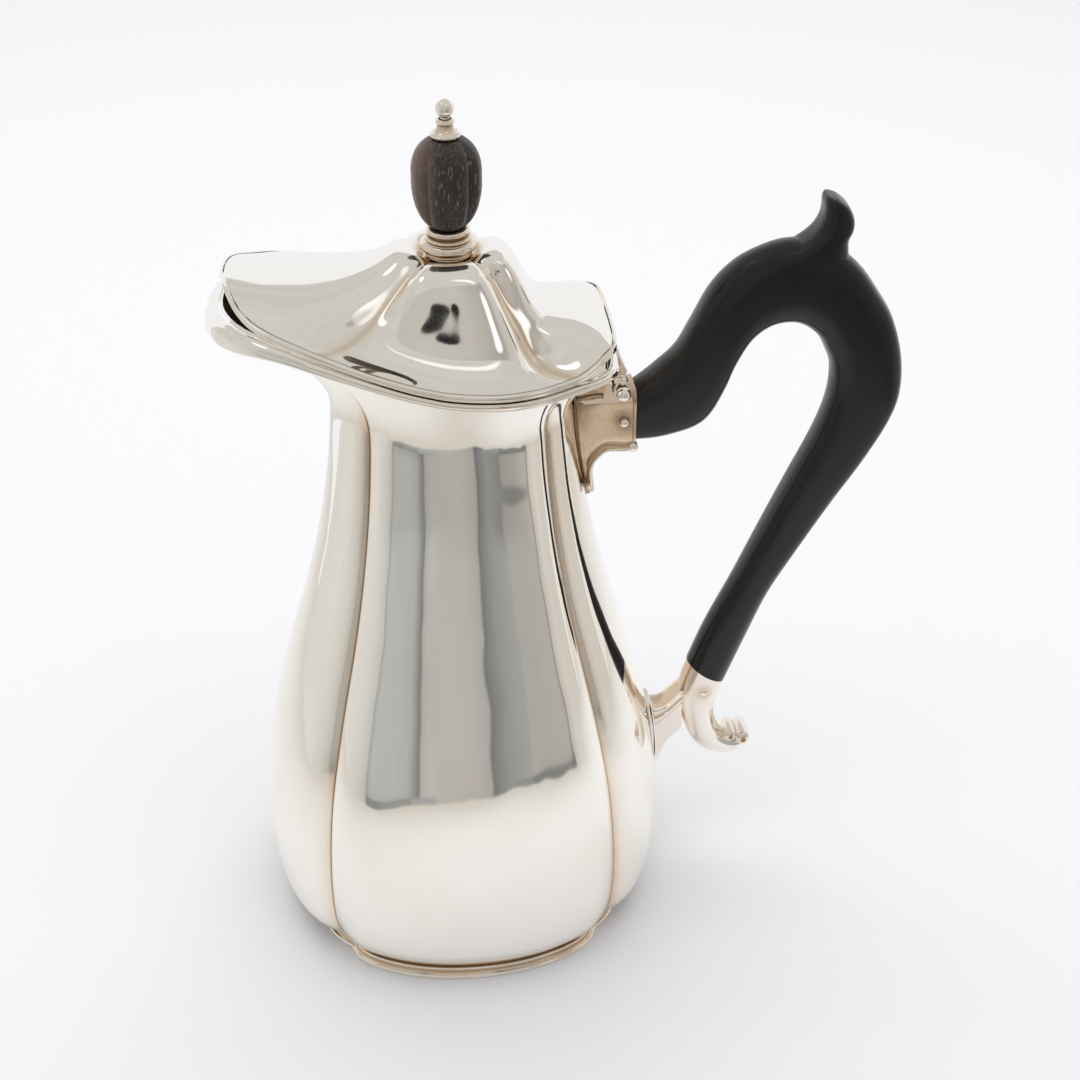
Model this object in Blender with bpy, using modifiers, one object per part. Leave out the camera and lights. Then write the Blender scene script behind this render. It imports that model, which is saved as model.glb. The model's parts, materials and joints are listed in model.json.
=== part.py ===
"""A silver hot-water ewer with a hinged lid, an ebony loop handle and a wooden finial.

Run with: blender --background --python part.py
Lengths are in metres, +Z is up, the spout points to -X and the handle to +X. The jug is
modelled about its own upright axis, and at the end the whole model is moved so that the
middle of its outline in plan lies at x = 0, y = 0, with the foot at z = 0.
"""
import math

import bmesh
import bpy
from mathutils import Matrix, Vector

# Driving dimensions
SOLDER_GAP = 0.0003
OVERRUN = 0.002
MERGE_DISTANCE = 0.000001
WALL = 0.0009
LOBES = 4
GROOVE_DEPTH_SHARE = 0.045
GROOVE_WIDTH_DEG = 12.0
SQUARENESS = 2.2

FOOT_HEIGHT = 0.0025
FOOT_STEP = 0.0008
FOOT_TREAD = 0.0062
BASE_THICKNESS = 0.0010

BELLY_RADIUS = 0.0551
FOOT_INSET = 0.0029
FOOT_RADIUS = BELLY_RADIUS - FOOT_INSET
NECK_RADIUS = 0.0308

RIM_HEIGHT = 0.1700
FLARE_HEIGHT = 0.0140
NECK_HEIGHT = RIM_HEIGHT - FLARE_HEIGHT
RIM_RISE = 0.0165
RIM_HALF_WIDTH = 0.0310
SPOUT_REACH = 0.0545
REAR_REACH = 0.0390
RIM_BAND_DEPTH = 0.0022
RIM_BAND_THICKNESS = 0.0010
LIP_ROLL_REACH = 0.0043
LIP_ROLL_DROP = 0.0042

LID_WALL = 0.0008
LID_EDGE = 0.0018
LID_REAR_EDGE = 0.0044
HOOD_LIFT = 0.0066
DOME_RISE = 0.0275
LID_BEAD = 0.0012

FINIAL_SEAT_RADIUS = 0.0062
ROD_RADIUS = 0.0012
COLLAR_RADIUS = 0.0078
COLLAR_HEIGHT = 0.0052
BARREL_RADIUS = 0.0085
BARREL_HEIGHT = 0.0240
CAP_HEIGHT = 0.0050
CAP_RADIUS = 0.0048
BALL_RADIUS = 0.0023
WASHER_RADIUS = 0.0040
WASHER_THICKNESS = 0.0008
NUT_RADIUS = 0.0032
NUT_HEIGHT = 0.0022

HINGE_REACH = 0.0034
HINGE_X = REAR_REACH + HINGE_REACH
HINGE_DROP = 0.0108
HINGE_Z = RIM_HEIGHT - HINGE_DROP
HINGE_HALF_LENGTH = 0.0083
KNUCKLE_RADIUS = 0.0022
PIN_RADIUS = 0.0010
PIN_BALL_RADIUS = 0.0019
LID_KNUCKLE_HALF = 0.0032
LEAF_THICKNESS = 0.0012
STAND_THICKNESS = 0.0010

SOCKET_DROP = 0.0046
SOCKET_TOP = HINGE_Z - SOCKET_DROP
SOCKET_HALF_WIDTH = 0.0066
SOCKET_WALL = 0.0011
MOUTH_REACH = 0.0042
MOUTH_X = HINGE_X + MOUTH_REACH
MOUTH_HEIGHT = 0.0134
MOUTH_BOTTOM = SOCKET_TOP - MOUTH_HEIGHT
TAIL_LENGTH = 0.0142
SOCKET_TAIL = MOUTH_BOTTOM - TAIL_LENGTH
STRAP_THICKNESS = 0.0016
PLATE_THICKNESS = 0.0008
PLATE_HALF_TURN_DEG = 17.0

HANDLE_SPAN = 0.0701
HANDLE_REACH = MOUTH_X + HANDLE_SPAN
HANDLE_RISE = 0.0234
HANDLE_CROWN = RIM_HEIGHT + HANDLE_RISE
HANDLE_HALF_WIDTH = 0.0060
HANDLE_ARRIS = 0.0026
THUMB_RISE = 0.0122
TENON_LENGTH = 0.0080
SOCKET_PIN_RADIUS = 0.0011
PIN_STAND_OUT = 0.0006

LOWER_MOUTH_REACH = 0.0143
LOWER_MOUTH_X = BELLY_RADIUS + LOWER_MOUTH_REACH
LOWER_MOUTH_Z = 0.0642
LOWER_TILT_DEG = 31.0
HORN_HALF_DEPTH = 0.0063
HORN_HALF_WIDTH = 0.0056
HORN_DROP = 0.0270
LOWER_TENON_HALF = 0.0034
BRACKET_HALF_WIDTH = 0.0036
BRACKET_DROP = 0.0087
BRACKET_TOP = LOWER_MOUTH_Z - BRACKET_DROP
BRACKET_HEIGHT = 0.0255
BRACKET_TAIL = BRACKET_TOP - BRACKET_HEIGHT
PIN_OFFSET = 0.0016
KNOB_RADIUS = 0.0034
KNOB_INNER_RADIUS = 0.0030
KNOB_SPACING = 0.0034

# Shares of the sizes above, chosen by hand
# (height between the foot and the neck, swell between neck radius and belly radius)
BODY_SHARES = ((0.035, 0.915), (0.10, 0.975), (0.165, 1.0), (0.255, 0.975), (0.37, 0.875),
               (0.45, 0.745), (0.53, 0.605), (0.61, 0.445), (0.70, 0.290), (0.80, 0.155),
               (0.90, 0.055), (1.0, 0.0))
# (turn from the rear in degrees, share of the reach, share of the half width)
PLAN_SHARES = ((0, 1.0, 0.0), (15, 0.998, 0.315), (27, 0.98, 0.545), (35, 0.89, 0.675), (45, 0.715, 0.80),
               (60, 0.475, 0.935), (75, 0.245, 0.995), (90, 0.0, 1.0), (105, -0.165, 1.0),
               (120, -0.365, 0.975), (135, -0.585, 0.89), (150, -0.795, 0.74),
               (165, -0.945, 0.45), (180, -1.0, 0.0))
# (turn from the rear in degrees, share of the rim's rise)
RIM_RISE_SHARES = ((0, 0.03), (30, 0.03), (45, 0.02), (60, 0.0), (75, 0.01), (90, 0.06),
                   (105, 0.19), (120, 0.42), (135, 0.68), (150, 0.91), (165, 0.98),
                   (180, 0.90))
HOOD_SHARES = ((0, 0.0), (145, 0.0), (155, 0.10), (165, 0.45), (172, 0.80), (180, 1.0))
ROLL_SHARES = ((0, 0.0), (105, 0.0), (135, 0.20), (150, 0.50), (160, 0.92), (168, 1.1),
               (180, 1.0))
REAR_EDGE_SHARES = ((0, 1.0), (22, 1.0), (32, 0.85), (38, 0.4), (45, 0.0), (180, 0.0))
# (way from the finial seat to the lid's edge, share of the dome's rise)
SIDE_LOBE_SHARES = ((0.0, 0.916), (0.14, 0.982), (0.275, 0.956), (0.39, 0.836), (0.49, 0.673),
                    (0.59, 0.502), (0.70, 0.327), (0.84, 0.189), (1.0, 0.105))
REAR_LOBE_SHARES = ((0.0, 0.916), (0.104, 0.993), (0.208, 0.982), (0.297, 0.873),
                    (0.371, 0.709), (0.43, 0.545), (0.504, 0.447), (0.638, 0.40),
                    (0.786, 0.378), (0.905, 0.335), (1.0, 0.255))
SPOUT_LOBE_SHARES = ((0.0, 0.916), (0.071, 1.015), (0.153, 1.005), (0.214, 0.945),
                     (0.296, 0.87), (0.418, 0.815), (0.58, 0.793), (0.745, 0.80),
                     (0.888, 0.829), (1.0, 0.855))
REAR_GROOVE_SHARES = ((0.0, 0.90), (0.08, 0.924), (0.173, 0.88), (0.30, 0.684), (0.497, 0.371),
                      (0.657, 0.145), (0.77, 0.085), (0.88, 0.075), (1.0, 0.087))
SPOUT_GROOVE_SHARES = ((0.0, 0.90), (0.068, 0.938), (0.177, 0.895), (0.286, 0.80),
                       (0.422, 0.676), (0.586, 0.545), (0.722, 0.48), (0.886, 0.458),
                       (1.0, 0.473))
LID_WAY_SHARES = (0.0, 0.07, 0.14, 0.21, 0.28, 0.35, 0.42, 0.50, 0.59, 0.69, 0.80, 0.90, 1.0)
LID_FULLNESS = 3.5
FLARE_POWER = 2.2
FLARE_SHARES = (0.2, 0.4, 0.6, 0.78, 0.93, 1.0)
FLARE_END_SHARE = 0.93
# (share of the way from the upper mouth to the handle's reach, share of the height from the
# lower mouth to the handle's crown)
HANDLE_TOP_SHARES = ((0.084, 0.757), (0.155, 0.796), (0.203, 0.850), (0.268, 0.920),
                     (0.348, 0.965), (0.442, 0.991), (0.538, 1.0), (0.599, 1.008))
HANDLE_BACK_SHARES = ((0.792, 0.957), (0.874, 0.900), (0.942, 0.838), (0.986, 0.761),
                      (0.997, 0.680), (0.966, 0.612), (0.885, 0.524), (0.772, 0.422),
                      (0.655, 0.308), (0.560, 0.209), (0.482, 0.097))
HANDLE_INNER_SHARES = ((0.261, 0.062), (0.351, 0.168), (0.459, 0.301), (0.562, 0.433),
                       (0.665, 0.560), (0.733, 0.660), (0.748, 0.724), (0.723, 0.781),
                       (0.653, 0.835), (0.578, 0.853), (0.498, 0.848), (0.424, 0.818),
                       (0.377, 0.771), (0.347, 0.716), (0.300, 0.657), (0.227, 0.618),
                       (0.134, 0.603))
# (share of the way to the handle's reach, share of the thumbpiece's rise above the crown)
THUMB_FRONT_SHARES = ((0.622, 0.22), (0.634, 0.50))
THUMB_TIP_SHARES = (0.646, 1.0)
THUMB_BACK_SHARES = ((0.718, 0.75), (0.762, 0.49), (0.765, 0.18), (0.742, -0.08))
# (way along x and down from the lower mouth as shares of the drop, depth share, width share)
HORN_SHARES = ((0.0, 0.0, 1.0, 1.0), (-0.070, 0.27, 0.94, 0.98), (-0.075, 0.45, 0.83, 0.94),
               (-0.048, 0.62, 0.74, 0.90), (0.0, 0.77, 0.70, 0.86), (0.085, 0.895, 0.67, 0.80),
               (0.20, 0.965, 0.62, 0.74), (0.31, 0.985, 0.52, 0.60), (0.385, 0.975, 0.36, 0.42),
               (0.42, 0.955, 0.16, 0.18))
KNOB_PLACE_SHARES = (0.375, 0.955)
HORN_SIDES = 20
PLATE_WIDTH_SHARES = ((0.0, 0.04), (0.12, 0.30), (0.30, 0.55), (0.55, 0.80), (0.8, 1.0), (1.0, 1.0))
GROOVE_STEPS_DEG = (0.0, 2.0, 5.0, 9.5, 16.0, 25.0, 35.0)

SILVER = (0.83, 0.81, 0.78, 1.0)
EBONY = (0.012, 0.011, 0.011, 1.0)
WOOD = (0.055, 0.040, 0.034, 1.0)


# Clearing the scene and making its materials and collections
for old in list(bpy.data.objects):
    bpy.data.objects.remove(old, do_unlink=True)


def collection(name):
    """A new collection linked to the scene."""
    made = bpy.data.collections.new(name)
    bpy.context.scene.collection.children.link(made)
    return made


EWER = collection("ewer")
CUTTERS = collection("cutters")
FRAME = bpy.data.objects.new("ewer_frame", None)
EWER.objects.link(FRAME)
LID_PIVOT = bpy.data.objects.new("lid_pivot", None)
EWER.objects.link(LID_PIVOT)
LID_PIVOT.location = (HINGE_X, 0, HINGE_Z)
LID_PIVOT.parent = FRAME


def material(name, colour, roughness, metallic):
    """A plain Principled material."""
    made = bpy.data.materials.new(name)
    made.use_nodes = True
    shader = made.node_tree.nodes["Principled BSDF"]
    shader.inputs["Base Color"].default_value = colour
    shader.inputs["Roughness"].default_value = roughness
    shader.inputs["Metallic"].default_value = metallic
    made.diffuse_color = colour
    return made


LOOKS = {"silver": (SILVER, 0.12, 1.0), "ebony": (EBONY, 0.35, 0.0), "wood": (WOOD, 0.5, 0.0)}


def adopt(obj, look, on_lid=False):
    """Put a finished object in the model, with a material of its own, under its parent."""
    for users in list(obj.users_collection):
        users.objects.unlink(obj)
    EWER.objects.link(obj)
    obj.data.materials.clear()
    obj.data.materials.append(material(obj.name + "_" + look, *LOOKS[look]))
    obj.data.shade_smooth()
    obj.data.set_sharp_from_angle(angle=math.radians(35))
    if on_lid:
        obj.data.transform(LID_PIVOT.matrix_local.inverted() @ obj.matrix_local)
        obj.matrix_local.identity()
        obj.location = (0, 0, 0)
        obj.rotation_euler = (0, 0, 0)
        obj.parent = LID_PIVOT
    else:
        obj.parent = FRAME
    return obj


def new_object(name, mesh):
    """An object in the scene for a mesh."""
    obj = bpy.data.objects.new(name, mesh)
    bpy.context.scene.collection.objects.link(obj)
    return obj


# Reading smooth values from the hand-chosen tables
def smooth(table, x):
    """The value at x on a curve through (x, value) points that never overshoots them."""
    xs = [row[0] for row in table]
    ys = [row[1] for row in table]
    if x <= xs[0]:
        return ys[0]
    if x >= xs[-1]:
        return ys[-1]
    steps = [(ys[i + 1] - ys[i]) / (xs[i + 1] - xs[i]) for i in range(len(xs) - 1)]

    def slope(i):
        if i == 0:
            return steps[0]
        if i == len(steps):
            return steps[-1]
        if steps[i - 1] * steps[i] <= 0:
            return 0.0
        return 2 * steps[i - 1] * steps[i] / (steps[i - 1] + steps[i])

    i = max(k for k in range(len(steps)) if xs[k] <= x)
    width = xs[i + 1] - xs[i]
    t = (x - xs[i]) / width
    return (ys[i] * (1 + 2 * t) * (1 - t) ** 2 + slope(i) * width * t * (1 - t) ** 2
            + ys[i + 1] * t * t * (3 - 2 * t) + slope(i + 1) * width * t * t * (t - 1))


def mirrored(table, odd=False):
    """A half-turn table carried on a little past both of its ends."""
    sign = -1 if odd else 1
    before = [(-x, sign * y) for x, y in table if 0 < x <= 45][::-1]
    after = [(360 - x, sign * y) for x, y in table if 135 <= x < 180][::-1]
    return before + list(table) + after


PLAN_X = mirrored([(row[0], row[1]) for row in PLAN_SHARES])
PLAN_Y = mirrored([(row[0], row[2]) for row in PLAN_SHARES], odd=True)
RISE = mirrored(RIM_RISE_SHARES)
HOOD = mirrored(HOOD_SHARES)
ROLL = mirrored(ROLL_SHARES)
REAR_EDGE = mirrored(REAR_EDGE_SHARES)


def half_turn(turn):
    """The same place on the half turn from 0 at the rear to 180 at the spout."""
    turn = turn % 360
    return 360 - turn if turn > 180 else turn


def side(turn):
    """+1 on the far side (+Y), -1 on the near side."""
    return -1 if turn % 360 > 180 else 1


# The lobed plan of foot and body
def lobe_factor(turn):
    """How far the four-lobed plan reaches at a turn, as a factor of the radius."""
    a = math.radians(turn)
    square = (abs(math.cos(a)) ** SQUARENESS + abs(math.sin(a)) ** SQUARENESS) ** (-1 / SQUARENESS)
    off = abs((turn - 45) % 90)
    off = min(off, 90 - off)
    notch = max(0.0, 1 - off / GROOVE_WIDTH_DEG) ** 2
    return square - GROOVE_DEPTH_SHARE * notch


def turns():
    """The turns, in degrees, at which every lobed piece is sampled: closest at the grooves."""
    half = [45 + step for step in GROOVE_STEPS_DEG] + [90]
    lobe = half + [180 - t for t in half[1:-1]][::-1]
    return [t + 90 * n for n in range(LOBES) for t in lobe]


TURNS = turns()


def body_radius(z):
    """The lobes' radius at a height up to the neck."""
    bottom = FOOT_RADIUS - FOOT_STEP
    table = [(FOOT_HEIGHT, bottom)]
    table += [(h * NECK_HEIGHT, NECK_RADIUS + s * (BELLY_RADIUS - NECK_RADIUS))
              for h, s in BODY_SHARES]
    return smooth(table, z)


def body_point(turn, z, inset=0.0):
    """A point on the body below the neck, or inset from it."""
    r = body_radius(z) * lobe_factor(turn) - inset
    a = math.radians(turn)
    return Vector((r * math.cos(a), r * math.sin(a), z))


# The rim's curve in space
def plan_point(turn, outset=0.0):
    """The rim in plan, set out by a distance square to it."""
    h = half_turn(turn)
    reach = smooth(PLAN_X, h)
    x = reach * (REAR_REACH if reach > 0 else SPOUT_REACH)
    here = Vector((x, side(turn) * smooth(PLAN_Y, h) * RIM_HALF_WIDTH, 0))
    return here + outset * plan_outward(turn) if outset else here


def plan_outward(turn):
    """The level direction square to the rim at a turn."""
    along = (plan_point(turn + 1) - plan_point(turn - 1)).normalized()
    return Vector((along.y, -along.x, 0))


def rim_z(turn):
    """The height of the body's rim."""
    return RIM_HEIGHT + RIM_RISE * smooth(RISE, half_turn(turn))


def lid_low_z(turn):
    """The height of the lid's lower edge: on the rim, and lifted off it at the spout."""
    return rim_z(turn) + SOLDER_GAP + HOOD_LIFT * smooth(HOOD, half_turn(turn))


def lid_edge_z(turn):
    """The height of the top of the lid's upright edge."""
    return lid_low_z(turn) + LID_EDGE + LID_REAR_EDGE * smooth(REAR_EDGE, half_turn(turn))


def grid(name, rings):
    """An open surface through rings of points that run once round, lowest ring first."""
    mesh = bpy.data.meshes.new(name)
    count = len(rings[0])
    points = [tuple(p) for ring in rings for p in ring]
    faces = [(k * count + i, k * count + (i + 1) % count,
              (k + 1) * count + (i + 1) % count, (k + 1) * count + i)
             for k in range(len(rings) - 1) for i in range(count)]
    mesh.from_pydata(points, [], faces)
    return new_object(name, mesh)


def ring_solid(name, section_at, places):
    """A closed ring whose section, a polygon of points, is given at each place round it."""
    sections = [section_at(place) for place in places]
    sides = len(sections[0])
    points = [tuple(p) for section in sections for p in section]
    count = len(sections)
    faces = [(i * sides + k, ((i + 1) % count) * sides + k,
              ((i + 1) % count) * sides + (k + 1) % sides, i * sides + (k + 1) % sides)
             for i in range(count) for k in range(sides)]
    mesh = bpy.data.meshes.new(name)
    mesh.from_pydata(points, [], faces)
    face_out(mesh)
    return new_object(name, mesh)


def face_out(mesh):
    """Turn a closed mesh's faces outwards."""
    bm = bmesh.new()
    bm.from_mesh(mesh)
    bmesh.ops.recalc_face_normals(bm, faces=bm.faces)
    if bm.calc_volume(signed=True) < 0:
        bmesh.ops.reverse_faces(bm, faces=bm.faces)
    bm.to_mesh(mesh)
    bm.free()


def thicken(obj, thickness):
    """Give an open surface a wall on its inner side."""
    solidify = obj.modifiers.new("wall", "SOLIDIFY")
    solidify.thickness = thickness
    solidify.offset = -1
    solidify.use_even_offset = False


def turned(name, profile, steps=32):
    """A turned solid from its outer profile, top to bottom, or from a closed profile ring."""
    closed = profile[0] == profile[-1]
    points = profile[:-1] if closed else profile
    mesh = bpy.data.meshes.new(name)
    edges = [(i, i + 1) for i in range(len(points) - 1)]
    if closed:
        edges.append((len(points) - 1, 0))
    mesh.from_pydata([(x, 0, z) for x, z in points], edges, [])
    obj = new_object(name, mesh)
    screw = obj.modifiers.new("turn", "SCREW")
    screw.steps = steps
    screw.render_steps = steps
    screw.use_merge_vertices = True
    screw.merge_threshold = MERGE_DISTANCE
    return baked(obj)


def baked(obj):
    """Replace an object by the mesh that its modifiers make."""
    graph = bpy.context.evaluated_depsgraph_get()
    mesh = bpy.data.meshes.new_from_object(obj.evaluated_get(graph))
    made = new_object(obj.name + "_baked", mesh)
    made.matrix_world = obj.matrix_world.copy()
    name = obj.name
    bpy.data.objects.remove(obj, do_unlink=True)
    made.name = name
    face_out(mesh)
    return made


def bead_profile(radius, z, minor, steps=8):
    """The outer half of a bead round a ring, for a profile that runs downwards."""
    return [(radius - minor + minor * math.sin(math.pi * k / steps),
             z + minor * math.cos(math.pi * k / steps)) for k in range(steps + 1)]


def slab(name, outline, half_width, arris=0.0, middle=0.0):
    """A flat outline in x and z, thickened to both sides along y, with rounded arrises."""
    curve = bpy.data.curves.new(name + "_outline", "CURVE")
    curve.dimensions = "2D"
    curve.fill_mode = "BOTH"
    curve.extrude = half_width
    line = curve.splines.new("POLY")
    line.points.add(len(outline) - 1)
    for point, (x, z) in zip(line.points, outline):
        point.co = (x, z, 0, 1)
    line.use_cyclic_u = True
    flat = new_object(name, curve)
    flat.rotation_euler = (math.pi / 2, 0, 0)
    flat.location = (0, middle, 0)
    bpy.context.view_layer.update()
    graph = bpy.context.evaluated_depsgraph_get()
    mesh = bpy.data.meshes.new_from_object(flat.evaluated_get(graph))
    mesh.transform(flat.matrix_world)
    bpy.data.objects.remove(flat, do_unlink=True)
    bm = bmesh.new()
    bm.from_mesh(mesh)
    bmesh.ops.remove_doubles(bm, verts=bm.verts, dist=MERGE_DISTANCE)
    bmesh.ops.dissolve_limit(bm, angle_limit=math.radians(0.5), verts=bm.verts, edges=bm.edges)
    bm.to_mesh(mesh)
    bm.free()
    face_out(mesh)
    obj = new_object(name, mesh)
    if arris:
        bevel = obj.modifiers.new("arris", "BEVEL")
        bevel.width = arris
        bevel.segments = 2
        bevel.limit_method = "ANGLE"
        bevel.angle_limit = math.radians(60)
        obj = baked(obj)
    return obj


def rod(name, radius, start, end, sides=20):
    """A straight round rod between two points."""
    start = Vector(start)
    end = Vector(end)
    bpy.ops.mesh.primitive_cylinder_add(vertices=sides, radius=radius,
                                        depth=(end - start).length,
                                        location=(start + end) / 2)
    obj = bpy.context.active_object
    obj.name = name
    obj.rotation_euler = (end - start).to_track_quat("Z", "Y").to_euler()
    bpy.context.view_layer.update()
    obj.data.transform(obj.matrix_world)
    obj.matrix_world.identity()
    obj.location = (0, 0, 0)
    obj.rotation_euler = (0, 0, 0)
    return obj


def combine(obj, other, operation):
    """Join or cut an object with another, which is used up as a cutter."""
    for users in list(other.users_collection):
        users.objects.unlink(other)
    CUTTERS.objects.link(other)
    other.hide_render = True
    other.display_type = "WIRE"
    change = obj.modifiers.new("shape", "BOOLEAN")
    change.operation = operation
    change.solver = "EXACT"
    change.object = other
    return baked(obj)


def through(points, steps=4):
    """An open outline as a smooth curve through its points."""
    out = []
    ends = [points[0]] + list(points) + [points[-1]]
    for i in range(1, len(ends) - 2):
        p0, p1, p2, p3 = (Vector(ends[i + k]) for k in range(-1, 3))
        for n in range(steps):
            t = n / steps
            out.append(tuple(0.5 * (2 * p1 + (p2 - p0) * t
                                    + (2 * p0 - 5 * p1 + 4 * p2 - p3) * t * t
                                    + (3 * p1 - p0 - 3 * p2 + p3) * t ** 3)))
    out.append(tuple(points[-1]))
    return out


# The jug's body, base and foot
def make_body():
    heights = [FOOT_HEIGHT + SOLDER_GAP] + [h * NECK_HEIGHT for h, _ in BODY_SHARES]
    rings = [[body_point(t, z) for t in TURNS] for z in heights]
    for share in FLARE_SHARES:
        ring = []
        for t in TURNS:
            low = body_point(t, NECK_HEIGHT)
            high = plan_point(t)
            spread = min(1.0, share / FLARE_END_SHARE) ** FLARE_POWER
            point = low.lerp(high, spread)
            point.z = NECK_HEIGHT + share * (rim_z(t) - NECK_HEIGHT)
            ring.append(point)
        rings.append(ring)
    shell = grid("body_shell", rings)
    thicken(shell, WALL)
    return adopt(baked(shell), "silver")


def make_base():
    low = FOOT_HEIGHT + SOLDER_GAP

    def section(turn):
        edge = body_point(turn, low, inset=WALL + SOLDER_GAP)
        return edge
    bm = bmesh.new()
    bottom = [bm.verts.new(section(t)) for t in TURNS]
    face = bm.faces.new(bottom)
    top = bmesh.ops.extrude_face_region(bm, geom=[face])["geom"]
    lifted = [v for v in top if isinstance(v, bmesh.types.BMVert)]
    bmesh.ops.translate(bm, verts=lifted, vec=(0, 0, BASE_THICKNESS))
    mesh = bpy.data.meshes.new("base_disc")
    bm.to_mesh(mesh)
    bm.free()
    face_out(mesh)
    return adopt(new_object("base_disc", mesh), "silver")


def make_foot():
    def section(turn):
        a = math.radians(turn)
        out = Vector((math.cos(a), math.sin(a), 0))
        factor = lobe_factor(turn)
        profile = ((FOOT_RADIUS - FOOT_TREAD, 0), (FOOT_RADIUS, 0),
                   (FOOT_RADIUS, FOOT_HEIGHT * 0.45), (FOOT_RADIUS - FOOT_STEP, FOOT_HEIGHT * 0.6),
                   (FOOT_RADIUS - FOOT_STEP, FOOT_HEIGHT), (FOOT_RADIUS - FOOT_TREAD, FOOT_HEIGHT))
        return [out * r * factor + Vector((0, 0, z)) for r, z in profile]
    return adopt(ring_solid("foot_ring", section, TURNS), "silver")


def make_body_rim():
    """The band round the mouth, which rolls outwards into the pouring lip."""
    def section(turn):
        roll = smooth(ROLL, half_turn(turn))
        outward = plan_outward(turn)
        top = plan_point(turn, SOLDER_GAP) + Vector((0, 0, rim_z(turn)))
        reach = RIM_BAND_THICKNESS * 0.4 + LIP_ROLL_REACH * roll
        drop = RIM_BAND_DEPTH + LIP_ROLL_DROP * roll
        down = Vector((0, 0, -1))
        inner_low = top + outward * reach * 0.75 + down * drop
        outer_low = inner_low + outward * RIM_BAND_THICKNESS * 0.8
        outer_mid = top + outward * (reach * 0.8 + RIM_BAND_THICKNESS) + down * drop * 0.45
        outer_top = top + outward * (RIM_BAND_THICKNESS * 0.8 + reach * 0.35) + down * drop * 0.06
        inner_mid = top + outward * reach * 0.5 + down * drop * 0.5
        return [top, outer_top, outer_mid, outer_low, inner_low, inner_mid]
    return adopt(ring_solid("body_rim", section, TURNS), "silver")


# The lid
def lid_share(turn, way):
    """The share of the dome's rise at a turn and a way out from the finial's seat."""
    h = half_turn(turn)
    groove = REAR_GROOVE_SHARES if h < 90 else SPOUT_GROOVE_SHARES
    middle = 45 if h < 90 else 135
    if abs(h - 90) <= 45:
        lobe = SIDE_LOBE_SHARES
        off = abs(h - middle) / 45
    else:
        lobe = REAR_LOBE_SHARES if h < 90 else SPOUT_LOBE_SHARES
        off = abs(h - middle) / 45
    full = 1 - (1 - off) ** LID_FULLNESS
    low = smooth(groove, way)
    return low + (smooth(lobe, way) - low) * full


def make_lid():
    seat_z = RIM_HEIGHT + DOME_RISE * SIDE_LOBE_SHARES[0][1]
    hole = ROD_RADIUS + SOLDER_GAP
    rings = []
    for turn_low in (True, False):
        ring = []
        for t in TURNS:
            point = plan_point(t)
            point.z = lid_low_z(t) if turn_low else lid_edge_z(t)
            ring.append(point)
        rings.append(ring)
    for way in LID_WAY_SHARES[-2::-1]:
        ring = []
        for t in TURNS:
            a = math.radians(t)
            seat = FINIAL_SEAT_RADIUS * Vector((math.cos(a), math.sin(a), 0))
            point = seat.lerp(plan_point(t), way)
            end = RIM_HEIGHT + DOME_RISE * lid_share(t, 1.0)
            point.z = (RIM_HEIGHT + DOME_RISE * lid_share(t, way)
                       + (lid_edge_z(t) - end) * way ** 4)
            if way == 0:
                point.z = seat_z
            ring.append(point)
        rings.append(ring)
    rings.append([Vector((hole * math.cos(math.radians(t)), hole * math.sin(math.radians(t)),
                          seat_z)) for t in TURNS])
    shell = grid("lid_shell", rings)
    thicken(shell, LID_WALL)
    return adopt(baked(shell), "silver", on_lid=True)


def make_lid_rim():
    """The bead that runs round the lid's upright edge and frames the hood's mouth."""
    def section(turn):
        outward = plan_outward(turn)
        inner = plan_point(turn, SOLDER_GAP)
        top = inner + Vector((0, 0, lid_edge_z(turn) - LID_BEAD * 0.15))
        down = Vector((0, 0, -LID_BEAD))
        return [top, top + outward * LID_BEAD * 0.55, top + outward * LID_BEAD * 0.9 + down * 0.45,
                top + outward * LID_BEAD * 0.75 + down * 1.05, top + down * 1.3]
    return adopt(ring_solid("lid_rim", section, TURNS), "silver", on_lid=True)


# The finial, from the rod outwards
def seat_height():
    """The top of the lid at the finial's seat."""
    return RIM_HEIGHT + DOME_RISE * SIDE_LOBE_SHARES[0][1]


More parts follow.
